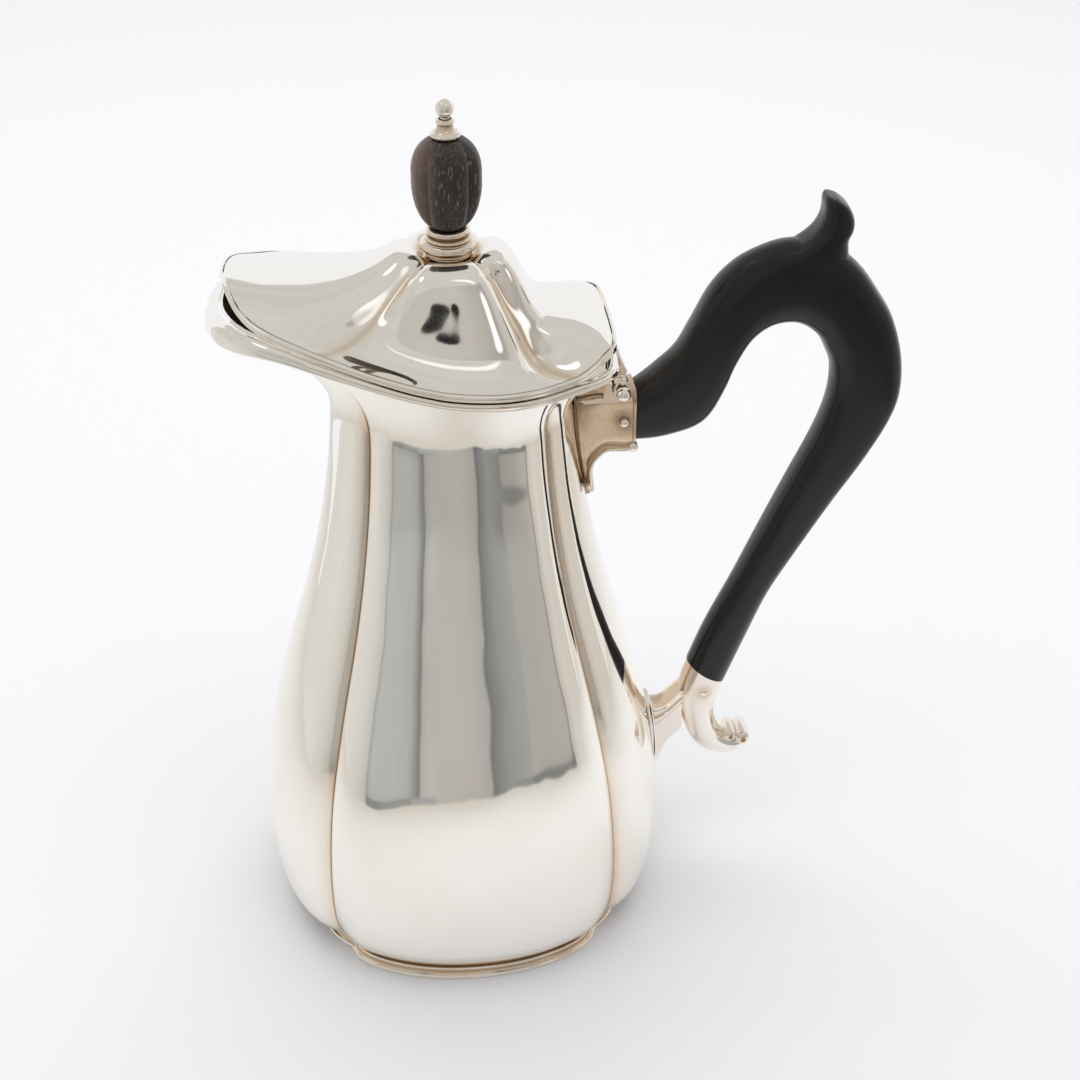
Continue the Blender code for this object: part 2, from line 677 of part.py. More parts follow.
def make_finial():
    bore = ROD_RADIUS + SOLDER_GAP
    base = seat_height() + SOLDER_GAP
    collar_top = base + COLLAR_HEIGHT
    neck = COLLAR_RADIUS * 0.72
    minor = COLLAR_HEIGHT * 0.27
    bead_z = base + COLLAR_HEIGHT * 0.55
    collar = [(bore, collar_top), (neck, collar_top), (neck, collar_top - COLLAR_HEIGHT * 0.12),
              (neck * 0.94, collar_top - COLLAR_HEIGHT * 0.17)]
    collar += bead_profile(COLLAR_RADIUS, bead_z, minor)
    collar += [(COLLAR_RADIUS * 0.82, base + COLLAR_HEIGHT * 0.22), (COLLAR_RADIUS * 0.82, base),
               (bore, base), (bore, collar_top)]
    adopt(turned("finial_collar", collar), "silver", on_lid=True)

    barrel_low = collar_top + SOLDER_GAP
    barrel_top = barrel_low + BARREL_HEIGHT
    shares = ((0.0, 0.58), (0.06, 0.70), (0.18, 0.86), (0.34, 0.965), (0.5, 1.0), (0.64, 0.975),
              (0.78, 0.87), (0.90, 0.70), (1.0, 0.53))

    def section(turn):
        a = math.radians(turn)
        out = Vector((math.cos(a), math.sin(a), 0))
        off = abs((turn - 45) % 90)
        off = min(off, 90 - off)
        notch = 0.13 * max(0.0, 1 - off / (2 * GROOVE_WIDTH_DEG)) ** 2
        points = [out * BARREL_RADIUS * s * (1 - notch * (0.2 + 0.8 * math.sin(math.pi * h)))
                  + Vector((0, 0, barrel_low + h * BARREL_HEIGHT)) for h, s in shares]
        points += [out * bore + Vector((0, 0, barrel_top)), out * bore + Vector((0, 0, barrel_low))]
        return points
    barrel_turns = [45 + 90 * n + off for n in range(LOBES) for off in (0, 6, 14, 28, 45, 62, 76, 84)]
    adopt(ring_solid("finial_barrel", section, barrel_turns), "wood", on_lid=True)

    cap_low = barrel_top + SOLDER_GAP
    cap_top = cap_low + CAP_HEIGHT
    cap = [(bore, cap_top), (CAP_RADIUS * 0.42, cap_top), (CAP_RADIUS * 0.46, cap_top - CAP_HEIGHT * 0.1),
           (CAP_RADIUS * 0.42, cap_top - CAP_HEIGHT * 0.2), (CAP_RADIUS * 0.36, cap_top - CAP_HEIGHT * 0.34),
           (CAP_RADIUS * 0.45, cap_top - CAP_HEIGHT * 0.52), (CAP_RADIUS * 0.70, cap_low + CAP_HEIGHT * 0.28),
           (CAP_RADIUS * 0.96, cap_low + CAP_HEIGHT * 0.12), (CAP_RADIUS, cap_low), (bore, cap_low),
           (bore, cap_top)]
    adopt(turned("finial_cap", cap, steps=28), "silver", on_lid=True)

    ball_z = cap_top + SOLDER_GAP + BALL_RADIUS * 0.96
    blind = ball_z - BALL_RADIUS * 0.2
    ball = [(BALL_RADIUS * math.sin(math.pi * k / 12), ball_z + BALL_RADIUS * math.cos(math.pi * k / 12))
            for k in range(10)]
    ball += [(bore, ball_z - BALL_RADIUS * 0.96), (bore, blind), (0, blind)]
    adopt(turned("finial_ball", ball, steps=24), "silver", on_lid=True)

    washer_top = seat_height() - LID_WALL - SOLDER_GAP
    washer_low = washer_top - WASHER_THICKNESS
    washer = [(bore, washer_top), (WASHER_RADIUS, washer_top), (WASHER_RADIUS, washer_low),
              (bore, washer_low), (bore, washer_top)]
    adopt(turned("finial_washer", washer, steps=24), "silver", on_lid=True)
    nut_top = washer_low - SOLDER_GAP
    nut_low = nut_top - NUT_HEIGHT
    nut = [(bore, nut_top), (NUT_RADIUS, nut_top), (NUT_RADIUS, nut_low), (bore, nut_low),
           (bore, nut_top)]
    adopt(turned("finial_nut", nut, steps=6), "silver", on_lid=True)
    adopt(rod("finial_rod", ROD_RADIUS, (0, 0, nut_low - ROD_RADIUS), (0, 0, blind - SOLDER_GAP)),
          "silver", on_lid=True)


# The upper socket, with the hinge on top of it
def neck_side(z):
    """How far the neck reaches towards the handle at a height, with a gap added."""
    if z <= NECK_HEIGHT:
        return body_radius(z) + SOLDER_GAP
    share = min(1.0, (z - NECK_HEIGHT) / (rim_z(0) - NECK_HEIGHT) / FLARE_END_SHARE)
    return NECK_RADIUS + (REAR_REACH - NECK_RADIUS) * share ** FLARE_POWER + SOLDER_GAP


def socket_side(z):
    """Where the upper socket starts, in x: clear of the plate that lies on the body."""
    return neck_side(z) + PLATE_THICKNESS + SOLDER_GAP


def socket_arch():
    """The lower edge of the upper socket, from its tail to its mouth."""
    tail = SOCKET_TAIL + STRAP_THICKNESS
    mouth = MOUTH_BOTTOM + STRAP_THICKNESS * 0.5
    span = mouth - tail
    start = socket_side(tail)
    width = MOUTH_X - start
    return through([(start + width * 0.04, tail), (start + width * 0.07, tail + span * 0.45),
                    (start + width * 0.22, tail + span * 0.76), (start + width * 0.50, tail + span * 0.95),
                    (start + width * 0.80, tail + span * 0.93), (MOUTH_X, mouth)], steps=3)


def make_upper_socket():
    arch = socket_arch()
    tail = arch[0][1]
    left = [(socket_side(tail + (SOCKET_TOP - tail) * k / 6), tail + (SOCKET_TOP - tail) * k / 6)
            for k in range(7)]
    rail = SOCKET_TOP + SOCKET_WALL * 2
    top = [(MOUTH_X, rail), (MOUTH_X - SOCKET_WALL, rail), (MOUTH_X - SOCKET_WALL, SOCKET_TOP)]
    socket = slab("upper_socket", arch + top + left[::-1], SOCKET_HALF_WIDTH)
    socket = combine(socket, pocket_cutter(), "DIFFERENCE")
    socket = combine(socket, rod("upper_pin_hole", SOCKET_PIN_RADIUS + SOLDER_GAP,
                                 *upper_pin_ends(OVERRUN), sides=16), "DIFFERENCE")
    adopt(socket, "silver")


def tenon_box():
    """The upper tenon's sides: x from, x to, z from, z to."""
    return (MOUTH_X - TENON_LENGTH, MOUTH_X,
            MOUTH_BOTTOM + STRAP_THICKNESS + SOCKET_WALL + SOLDER_GAP,
            SOCKET_TOP - SOCKET_WALL - SOLDER_GAP)


def box(name, x0, x1, half_y, z0, z1):
    """A plain box between two x and two z values, and to both sides along y."""
    return slab(name, [(x0, z0), (x1, z0), (x1, z1), (x0, z1)], half_y)


def pocket_cutter():
    x0, x1, z0, z1 = tenon_box()
    return box("upper_pocket", x0 - SOLDER_GAP, x1 + OVERRUN,
               SOCKET_HALF_WIDTH - SOCKET_WALL, z0 - SOLDER_GAP, z1 + SOLDER_GAP)


def upper_pin_ends(extra):
    """The ends of the upper handle pin."""
    x0, x1, z0, z1 = tenon_box()
    reach = SOCKET_HALF_WIDTH + extra
    x = (x0 + x1) / 2 + TENON_LENGTH * 0.1
    return ((x, -reach, (z0 + z1) / 2), (x, reach, (z0 + z1) / 2))


def make_socket_pin(name, near, far):
    adopt(rod(name, SOCKET_PIN_RADIUS, near, far, sides=16), "silver")


def make_hinge():
    bore = PIN_RADIUS + SOLDER_GAP

    def tube(name, y0, y1, on_lid):
        length = y1 - y0
        profile = [(bore, length), (KNUCKLE_RADIUS, length), (KNUCKLE_RADIUS, 0), (bore, 0), (bore, length)]
        obj = turned(name, profile, steps=24)
        obj.data.transform(Matrix.Translation((HINGE_X, y0, HINGE_Z))
                           @ Matrix.Rotation(-math.pi / 2, 4, "X"))
        return adopt(obj, "silver", on_lid=on_lid)

    tube("lid_knuckle", -LID_KNUCKLE_HALF, LID_KNUCKLE_HALF, True)
    start = LID_KNUCKLE_HALF + SOLDER_GAP
    tube("near_knuckle", -HINGE_HALF_LENGTH, -start, False)
    tube("far_knuckle", start, HINGE_HALF_LENGTH, False)

    reach = HINGE_HALF_LENGTH + SOLDER_GAP
    pin = rod("hinge_pin", PIN_RADIUS, (HINGE_X, -reach - PIN_BALL_RADIUS, HINGE_Z),
              (HINGE_X, reach + PIN_BALL_RADIUS, HINGE_Z))
    head = ball_at("pin_head", PIN_BALL_RADIUS, (HINGE_X, -reach - PIN_BALL_RADIUS * 0.95, HINGE_Z))
    adopt(combine(pin, head, "UNION"), "silver")
    cap = ball_at("hinge_pin_cap", PIN_BALL_RADIUS, (HINGE_X, reach + PIN_BALL_RADIUS * 0.95, HINGE_Z))
    hole = rod("cap_hole", bore, (HINGE_X, reach - OVERRUN, HINGE_Z),
               (HINGE_X, reach + PIN_BALL_RADIUS + SOLDER_GAP, HINGE_Z))
    adopt(combine(cap, hole, "DIFFERENCE"), "silver")

    low = SOCKET_TOP + SOLDER_GAP
    back = socket_side(low + STAND_THICKNESS)
    front = MOUTH_X - SOCKET_WALL - SOLDER_GAP
    half = SOCKET_HALF_WIDTH
    plate = box("hinge_stand", back, front, half, low, low + STAND_THICKNESS)
    saddle = KNUCKLE_RADIUS + SOLDER_GAP
    for sign in (-1, 1):
        middle = sign * (start + half) / 2
        lug = slab("lug", [(HINGE_X - KNUCKLE_RADIUS * 2.2, low + STAND_THICKNESS * 0.5),
                           (HINGE_X + KNUCKLE_RADIUS * 0.9, low + STAND_THICKNESS * 0.5),
                           (HINGE_X + KNUCKLE_RADIUS * 0.9, HINGE_Z),
                           (HINGE_X - KNUCKLE_RADIUS * 1.7, HINGE_Z + KNUCKLE_RADIUS * 0.6)],
                   (half - start) / 2, middle=middle)
        plate = combine(plate, lug, "UNION")
    groove = rod("saddle", saddle, (HINGE_X, -half - OVERRUN, HINGE_Z), (HINGE_X, half + OVERRUN, HINGE_Z),
                 sides=24)
    adopt(combine(plate, groove, "DIFFERENCE"), "silver")


def ball_at(name, radius, place, rings=10, segments=20):
    bpy.ops.mesh.primitive_uv_sphere_add(segments=segments, ring_count=rings, radius=radius, location=place)
    obj = bpy.context.active_object
    obj.name = name
    bpy.context.view_layer.update()
    obj.data.transform(obj.matrix_world)
    obj.location = (0, 0, 0)
    bpy.context.view_layer.update()
    return obj


# The handle, from the upper mouth over the thumbpiece to the lower mouth and back
def lower_frame():
    """The lower mouth's middle, the way out of it and the way across it, in x and z."""
    tilt = math.radians(LOWER_TILT_DEG)
    return (Vector((LOWER_MOUTH_X, LOWER_MOUTH_Z)), Vector((math.sin(tilt), math.cos(tilt))),
            Vector((math.cos(tilt), -math.sin(tilt))))


def handle_point(across, up):
    """A point of the handle's outline from its shares."""
    return (MOUTH_X + across * (HANDLE_REACH - MOUTH_X),
            LOWER_MOUTH_Z + up * (HANDLE_CROWN - LOWER_MOUTH_Z))


def thumb_point(across, rise):
    """A point of the thumbpiece from its shares."""
    return (MOUTH_X + across * (HANDLE_REACH - MOUTH_X), HANDLE_CROWN + rise * THUMB_RISE)


def make_handle():
    middle, out, across = lower_frame()
    start = MOUTH_X + SOLDER_GAP
    top = [(start, SOCKET_TOP + SOCKET_WALL * 2)] + [handle_point(*p) for p in HANDLE_TOP_SHARES]
    front = [top[-1]] + [thumb_point(*p) for p in THUMB_FRONT_SHARES] + [thumb_point(*THUMB_TIP_SHARES)]
    right = middle + out * SOLDER_GAP + across * HORN_HALF_DEPTH
    left = middle + out * SOLDER_GAP - across * HORN_HALF_DEPTH
    back = [thumb_point(*THUMB_TIP_SHARES)] + [thumb_point(*p) for p in THUMB_BACK_SHARES]
    back += [handle_point(*p) for p in HANDLE_BACK_SHARES] + [tuple(right)]
    inner = [tuple(left)] + [handle_point(*p) for p in HANDLE_INNER_SHARES]
    inner += [(start, MOUTH_BOTTOM + SOLDER_GAP)]
    outline = through(top, 3)[:-1] + through(front, 2)[:-1] + through(back, 3) + through(inner, 3)
    handle = slab("handle", outline, HANDLE_HALF_WIDTH, arris=HANDLE_ARRIS)
    x0, x1, z0, z1 = tenon_box()
    upper = box("upper_tenon", x0, x1 + OVERRUN, SOCKET_HALF_WIDTH - SOCKET_WALL - SOLDER_GAP, z0, z1)
    handle = combine(handle, upper, "UNION")
    handle = combine(handle, lower_tenon("lower_tenon", 0.0, out * OVERRUN), "UNION")
    hole = SOCKET_PIN_RADIUS + SOLDER_GAP
    for name, ends in (("upper", upper_pin_ends(OVERRUN)), ("lower", lower_pin_ends(OVERRUN))):
        handle = combine(handle, rod(name + "_tenon_hole", hole, *ends, sides=16), "DIFFERENCE")
    adopt(handle, "ebony")


def lower_tenon(name, grow, extra):
    """The lower tenon's box, grown for its pocket, with an extra length at its mouth end."""
    middle, out, across = lower_frame()
    half = LOWER_TENON_HALF + grow
    deep = middle - out * (TENON_LENGTH + grow)
    high = middle + extra
    corners = [deep - across * half, deep + across * half, high + across * half, high - across * half]
    return slab(name, [tuple(c) for c in corners], half)


def lower_pin_ends(extra):
    """The ends of the lower handle pin."""
    middle, out, across = lower_frame()
    place = middle - out * TENON_LENGTH * 0.6 + across * PIN_OFFSET
    reach = HORN_HALF_WIDTH + extra
    return ((place.x, -reach, place.y), (place.x, reach, place.y))


def make_lower_socket():
    """The horn that holds the handle's lower end and turns up into two beads."""
    middle, out, _ = lower_frame()
    path = [middle + Vector((x, -z)) * HORN_DROP for x, z, _, _ in HORN_SHARES]
    rings = []
    for i, (_, _, depth, width) in enumerate(HORN_SHARES):
        if i == 0:
            along = -out
        else:
            along = (path[min(i + 1, len(path) - 1)] - path[i - 1]).normalized()
        sideways = Vector((-along.y, along.x))
        ring = []
        for k in range(HORN_SIDES):
            a = 2 * math.pi * k / HORN_SIDES
            place = path[i] + sideways * math.cos(a) * HORN_HALF_DEPTH * depth
            ring.append(Vector((place.x, math.sin(a) * HORN_HALF_WIDTH * width, place.y)))
        rings.append(ring)
    horn = grid("lower_socket", rings)
    bm = bmesh.new()
    bm.from_mesh(horn.data)
    bmesh.ops.holes_fill(bm, edges=[e for e in bm.edges if e.is_boundary])
    bm.to_mesh(horn.data)
    bm.free()
    face_out(horn.data)
    horn = combine(horn, lower_tenon("lower_pocket", SOLDER_GAP, out * OVERRUN), "DIFFERENCE")
    horn = combine(horn, rod("lower_pin_hole", SOCKET_PIN_RADIUS + SOLDER_GAP,
                             *lower_pin_ends(OVERRUN), sides=16), "DIFFERENCE")
    horn = combine(horn, knob("knob_seat", SOLDER_GAP), "DIFFERENCE")
    adopt(horn, "silver")
    adopt(knob("scroll_knob", 0.0), "silver")
    make_socket_pin("lower_socket_pin", *lower_pin_ends(PIN_STAND_OUT))


def knob(name, grow):
    """The two-lobed knob on the horn's upturned end, or the seat for it."""
    x = LOWER_MOUTH_X + KNOB_PLACE_SHARES[0] * HORN_DROP
    z = LOWER_MOUTH_Z - KNOB_PLACE_SHARES[1] * HORN_DROP
    outer = ball_at(name, KNOB_RADIUS + grow, (x, 0, z))
    inner = ball_at(name + "_inner", KNOB_INNER_RADIUS + grow,
                    (x - KNOB_SPACING, 0, z + (KNOB_RADIUS - KNOB_INNER_RADIUS) * 2))
    return combine(outer, inner, "UNION")


def horn_side(z):
    """Where the horn's side towards the body lies at a height, in x, with a gap added."""
    table = []
    for x, down, depth, _ in HORN_SHARES[:6][::-1]:
        table.append((LOWER_MOUTH_Z - down * HORN_DROP,
                      LOWER_MOUTH_X + x * HORN_DROP - depth * HORN_HALF_DEPTH))
    return smooth(table, z) - SOLDER_GAP


def make_bracket():
    """The bracket that carries the lower socket on its plate on the body."""
    stand_off = PLATE_THICKNESS + 2 * SOLDER_GAP
    span = BRACKET_TOP - BRACKET_TAIL
    heights = [BRACKET_TAIL + span * k / 8 for k in range(9)]
    body_side = [(body_radius(z) + stand_off, z) for z in heights]
    low_join = BRACKET_TAIL + span * 0.52
    horn_x = horn_side(low_join) - SOLDER_GAP * 2
    tail_x = body_side[0][0] + SOLDER_GAP * 4
    curve = through([(tail_x, BRACKET_TAIL), (tail_x + (horn_x - tail_x) * 0.18, BRACKET_TAIL + span * 0.22),
                     (tail_x + (horn_x - tail_x) * 0.5, BRACKET_TAIL + span * 0.40),
                     (horn_x, low_join)], 3)
    up = [(horn_side(low_join + (BRACKET_TOP - low_join) * k / 4) - SOLDER_GAP * 2,
           low_join + (BRACKET_TOP - low_join) * k / 4) for k in range(1, 5)]
    outline = curve + up + body_side[::-1]
    adopt(slab("lower_bracket", outline, BRACKET_HALF_WIDTH), "silver")


def plate_on_body(name, z_low, z_high, half_turn_deg):
    """A thin plate that follows the body on the handle side and tapers to its tail."""
    rows = 9
    columns = 8
    points = []
    for r in range(rows + 1):
        share = r / rows
        z = z_low + (z_high - z_low) * share
        half = half_turn_deg * smooth(PLATE_WIDTH_SHARES, share)
        for c in range(columns + 1):
            points.append(tuple(body_point(half * (2 * c / columns - 1), z, inset=-SOLDER_GAP)))
    faces = []
    for r in range(rows):
        for c in range(columns):
            k = r * (columns + 1) + c
            faces.append((k, k + 1, k + columns + 2, k + columns + 1))
    mesh = bpy.data.meshes.new(name)
    mesh.from_pydata(points, [], faces)
    plate = new_object(name, mesh)
    solidify = plate.modifiers.new("plate", "SOLIDIFY")
    solidify.thickness = PLATE_THICKNESS
    solidify.offset = 1
    adopt(baked(plate), "silver")


def make_strap():
    """The strap that edges the arch under the upper socket."""
    arch = socket_arch()
    shape = []
    for i, (x, z) in enumerate(arch):
        x0, z0 = arch[max(i - 1, 0)]
        x1, z1 = arch[min(i + 1, len(arch) - 1)]
        along = Vector((x1 - x0, z1 - z0)).normalized()
        shape.append((Vector((x, z)), Vector((along.y, -along.x))))
    upper = [tuple(p + n * SOLDER_GAP) for p, n in shape]
    lower = [tuple(p + n * (SOLDER_GAP + STRAP_THICKNESS)) for p, n in shape]
    adopt(slab("socket_strap", lower + upper[::-1], SOCKET_HALF_WIDTH), "silver")


def make_lid_leaf():
    """The leaf that joins the lid's rear edge to its hinge tube."""
    foot_x = HINGE_X - KNUCKLE_RADIUS * 0.35
    wall_x = REAR_REACH + SOLDER_GAP
    band_x = REAR_REACH + 2 * SOLDER_GAP + RIM_BAND_THICKNESS * 1.4
    low = lid_low_z(0) + SOLDER_GAP
    high = lid_edge_z(0) - LID_BEAD * 1.45 - SOLDER_GAP
    outer = max(foot_x, band_x) + LEAF_THICKNESS
    outline = [(outer - LEAF_THICKNESS, HINGE_Z), (outer, HINGE_Z), (outer, high - LEAF_THICKNESS),
               (outer - LEAF_THICKNESS, high), (wall_x, high), (wall_x, low),
               (outer - LEAF_THICKNESS, low)]
    leaf = slab("lid_leaf", outline, LID_KNUCKLE_HALF - SOLDER_GAP)
    saddle = rod("leaf_saddle", KNUCKLE_RADIUS + SOLDER_GAP, (HINGE_X, -HINGE_HALF_LENGTH, HINGE_Z),
                 (HINGE_X, HINGE_HALF_LENGTH, HINGE_Z), sides=24)
    adopt(combine(leaf, saddle, "DIFFERENCE"), "silver", on_lid=True)


make_body()
make_base()
make_foot()
make_body_rim()
make_lid()
make_lid_rim()
make_finial()
make_upper_socket()
make_strap()
make_hinge()
make_lid_leaf()
make_handle()
make_socket_pin("upper_socket_pin", *upper_pin_ends(PIN_STAND_OUT))
make_lower_socket()
make_bracket()
plate_on_body("upper_plate", SOCKET_TAIL - SOCKET_HALF_WIDTH * 0.4, SOCKET_TOP, PLATE_HALF_TURN_DEG)
plate_on_body("lower_plate", BRACKET_TAIL - BRACKET_HALF_WIDTH * 0.6, BRACKET_TOP,
              math.degrees(BRACKET_HALF_WIDTH * 1.45 / BELLY_RADIUS))

# The middle of the outline in plan comes to x = 0, y = 0
bpy.context.view_layer.update()
corners = [obj.matrix_world @ v.co for obj in EWER.objects if obj.type == "MESH" for v in obj.data.vertices]
for axis in range(2):
    values = [c[axis] for c in corners]
    FRAME.location[axis] = -(min(values) + max(values)) / 2
bpy.context.view_layer.update()
print("jug axis at x = %.5f, y = %.5f" % (FRAME.location.x, FRAME.location.y))
print("hinge axis at", tuple(round(v, 5) for v in LID_PIVOT.matrix_world.translation))
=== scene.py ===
# %% [markdown]
# # A silver hot-water ewer with an ebony handle
#
# This lesson dresses a measured model of a ewer: a four-lobed silver jug with a hinged, hooded lid,
# an ebony loop handle and a small wooden finial. The measured model comes first and never moves.
# Each finer piece is then made in the same place, in metres, and rides on the jug or on the lid.

# %% Load the measured model
import json
import math

import bmesh
import bpy
import numpy as np
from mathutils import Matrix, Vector

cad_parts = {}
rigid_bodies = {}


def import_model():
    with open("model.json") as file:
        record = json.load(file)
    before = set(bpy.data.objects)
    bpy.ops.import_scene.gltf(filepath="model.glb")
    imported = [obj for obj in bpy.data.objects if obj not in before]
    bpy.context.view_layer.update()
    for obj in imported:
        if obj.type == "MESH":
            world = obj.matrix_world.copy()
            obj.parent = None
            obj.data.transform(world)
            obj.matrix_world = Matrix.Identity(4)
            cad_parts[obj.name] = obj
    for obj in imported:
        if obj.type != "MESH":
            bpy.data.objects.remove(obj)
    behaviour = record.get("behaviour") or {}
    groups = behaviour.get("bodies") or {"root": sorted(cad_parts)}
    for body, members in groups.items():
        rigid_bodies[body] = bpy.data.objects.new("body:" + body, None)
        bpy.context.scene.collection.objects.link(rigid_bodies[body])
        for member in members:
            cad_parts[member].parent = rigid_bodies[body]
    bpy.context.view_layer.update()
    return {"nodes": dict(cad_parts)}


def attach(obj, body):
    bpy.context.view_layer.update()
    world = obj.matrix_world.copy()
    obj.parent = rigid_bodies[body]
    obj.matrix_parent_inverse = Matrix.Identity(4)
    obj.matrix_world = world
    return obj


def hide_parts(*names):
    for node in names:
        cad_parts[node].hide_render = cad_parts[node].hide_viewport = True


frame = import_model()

# %% [markdown]
# ## The camera
#
# The photograph looks down on the jug from about 33 degrees, a little from the spout side. A camera
# can be aimed at a target or placed by its three axes. The axes are used here, because the real view
# was measured: the way back to the camera, the way to the right and the way up.

# %% Place the camera
AXIS_X = -0.02849
LOOK_HEIGHT = 0.10575
VIEW_RISE = math.radians(33.0)
VIEW_TURN = math.radians(6.2)
VIEW_DISTANCE = 0.536
VIEW_SLIDE = (-0.0223, -0.0052)
PHOTO_WIDTH = 1080
LENS_IN_PIXELS = 2000
SENSOR = 36.0

back = Vector((-math.sin(VIEW_TURN) * math.cos(VIEW_RISE), -math.cos(VIEW_TURN) * math.cos(VIEW_RISE),
               math.sin(VIEW_RISE)))
right = Vector((math.cos(VIEW_TURN), -math.sin(VIEW_TURN), 0))
up = back.cross(right)
camera = bpy.data.objects.new("camera", bpy.data.cameras.new("camera"))
bpy.context.scene.collection.objects.link(camera)
camera.data.sensor_width = SENSOR
camera.data.lens = SENSOR * LENS_IN_PIXELS / PHOTO_WIDTH
spot = Vector((AXIS_X, 0, LOOK_HEIGHT)) + back * VIEW_DISTANCE - right * VIEW_SLIDE[0] - up * VIEW_SLIDE[1]
for row in range(3):
    camera.matrix_world[row] = (right[row], up[row], back[row], spot[row])
bpy.context.scene.camera = camera
print("lens %.1f mm, camera at" % camera.data.lens, [round(v, 3) for v in spot])

# %% [markdown]
# ## Materials in small steps
#
# Every finish is a small tree of nodes. A few helpers keep the trees readable: one starts a material,
# one adds a node, sets its options and joins its inputs in one call, and the rest are such calls with
# a name of their own for what comes up again and again.

# %% Helpers for node trees


def blank(name):
    """A new material, its tree and its shader."""
    made = bpy.data.materials.new(name)
    made.use_nodes = True
    return made, made.node_tree, made.node_tree.nodes["Principled BSDF"]


def feed(tree, made, inputs):
    """Set a node's inputs to values, or join them to other nodes' outputs."""
    for key, value in inputs.items():
        if isinstance(value, bpy.types.NodeSocket):
            tree.links.new(value, made.inputs[key])
        else:
            made.inputs[key].default_value = value


def node(tree, kind, inputs=None, **options):
    """A node with its options set and its inputs fed."""
    made = tree.nodes.new("ShaderNode" + kind)
    for key, value in options.items():
        setattr(made, key, value)
    feed(tree, made, inputs or {})
    return made


def maths(tree, operation, *values, **options):
    """The result of one operation on values or other nodes' outputs."""
    return node(tree, "Math", dict(enumerate(values)), operation=operation, **options).outputs[0]


def ramp(tree, share, stops):
    """A colour ramp read at a share, from (place, colour) stops."""
    made = node(tree, "ValToRGB", {"Fac": share})
    band = made.color_ramp
    while len(band.elements) < len(stops):
        band.elements.new(0.5)
    for element, (place, colour) in zip(band.elements, stops):
        element.position = place
        element.color = (*colour, 1.0)
    return made.outputs["Color"]


def ranged(tree, share, low, high, start=0.0, end=1.0):
    """A value that runs from low to high while a share runs from start to end."""
    return node(tree, "MapRange", {"Value": share, "From Min": start, "From Max": end,
                                   "To Min": low, "To Max": high}).outputs["Result"]


def blended(tree, share, first, second):
    """Two colours mixed by a share."""
    mix = node(tree, "Mix", {"Factor": share, "A": first, "B": second}, data_type="RGBA")
    return mix.outputs["Result"]


def bumped(tree, height, strength, distance):
    """The direction of a surface that a height bends."""
    bump = node(tree, "Bump", {"Height": height, "Strength": strength, "Distance": distance})
    return bump.outputs["Normal"]


def grain(tree, scale, detail=2.0, stretch=None):
    """Noise in the piece's own space, optionally stretched along its axes."""
    place = node(tree, "TexCoord").outputs["Object"]
    if stretch:
        place = node(tree, "Mapping", {"Vector": place, "Scale": stretch}).outputs["Vector"]
    return node(tree, "TexNoise", {"Vector": place, "Scale": scale, "Detail": detail}).outputs["Fac"]


print("node helpers ready")

# %% [markdown]
# ## Silver
#
# Polished silver is a mirror with a slightly warm colour. It darkens to gold and then to brown where
# a cloth can't reach, so each silver mesh carries a value called tarnish for every point, and the
# material reads it. In a few places this value holds painted shade as well: in the foot's mouldings,
# round the foot of the finial's collar and at the ends of the two scrolls. A broad, very low bump
# stands for the hammer's work under the polish, and it bends the reflections just enough to look
# like raised metal.

# %% The silver finishes
SILVER_STOPS = ((0.0, (0.985, 0.95, 0.885)), (0.30, (0.93, 0.85, 0.745)), (0.62, (0.70, 0.53, 0.37)),
                (1.0, (0.20, 0.125, 0.075)))
# (scale, detail, share of the overall darkening (tarnish, and painted shade inside), share of the cloudiness)
# of clouds, stains and specks
CLOUDS = ((38.0, 5.0, 1, 1.0), (13.0, 6.0, 0, 0.9), (900.0, 3.0, 0, 0.35))


def silver(name, clouds=0.10, base=0.0, polish=(0.055, 0.22), ripple=0.00003):
    """A silver finish: how cloudy, how dark overall (tarnish, and painted shade inside), its roughness range,
    its ripple in metres.
    """
    made, tree, shader = blank(name)
    tarnish = node(tree, "Attribute", attribute_name="tarnish").outputs["Fac"]
    for scale, detail, middle, reach in CLOUDS:
        low, high = middle * base - reach * clouds, middle * base + reach * clouds
        tarnish = maths(tree, "ADD", tarnish, ranged(tree, grain(tree, scale, detail), low, high))
    wave = grain(tree, 120.0, 1.0, stretch=(1.0, 1.0, 0.4))
    swell = maths(tree, "MULTIPLY_ADD", wave, 0.05, grain(tree, 36.0, 1.2))
    feed(tree, shader, {"Metallic": 1.0, "Base Color": ramp(tree, tarnish, SILVER_STOPS),
                        "Roughness": ranged(tree, tarnish, *polish),
                        "Normal": bumped(tree, swell, 1.0, ripple)})
    return made


BODY_SILVER = silver("polished_silver", clouds=0.16, ripple=0.00060)
LID_SILVER = silver("lid_silver", clouds=0.13, ripple=0.00022)
SMALL_SILVER = silver("worked_silver", clouds=0.16, base=0.12, polish=(0.07, 0.30), ripple=0.000015)
OLD_SILVER = silver("tarnished_silver", clouds=0.22, base=0.50, polish=(0.10, 0.34), ripple=0.00002)
SOCKET_SILVER = silver("socket_silver", clouds=0.24, base=0.58, polish=(0.09, 0.30), ripple=0.0002)
HIDDEN_SILVER = silver("dull_silver", clouds=0.2, base=0.25, polish=(0.2, 0.4))
# The inner walls of the jug and the lid are painted dark brown: the shade inside them, over some tarnish.
SHADED_INSIDE_SILVER = silver("inside_silver_painted_shade", clouds=0.15, base=0.95, polish=(0.30, 0.5))
print("for the large pieces:", BODY_SILVER.name, LID_SILVER.name, SHADED_INSIDE_SILVER.name)
print("for the fittings:", [m.name for m in (SMALL_SILVER, OLD_SILVER, SOCKET_SILVER, HIDDEN_SILVER)])

# %% [markdown]
# ## Ebony and the finial's wood
#
# Ebony is nearly black, and its polish shows as soft grey light along the arrises. The small finial
# is a browner wood with open pores: short pale flecks that run up and down with the grain.

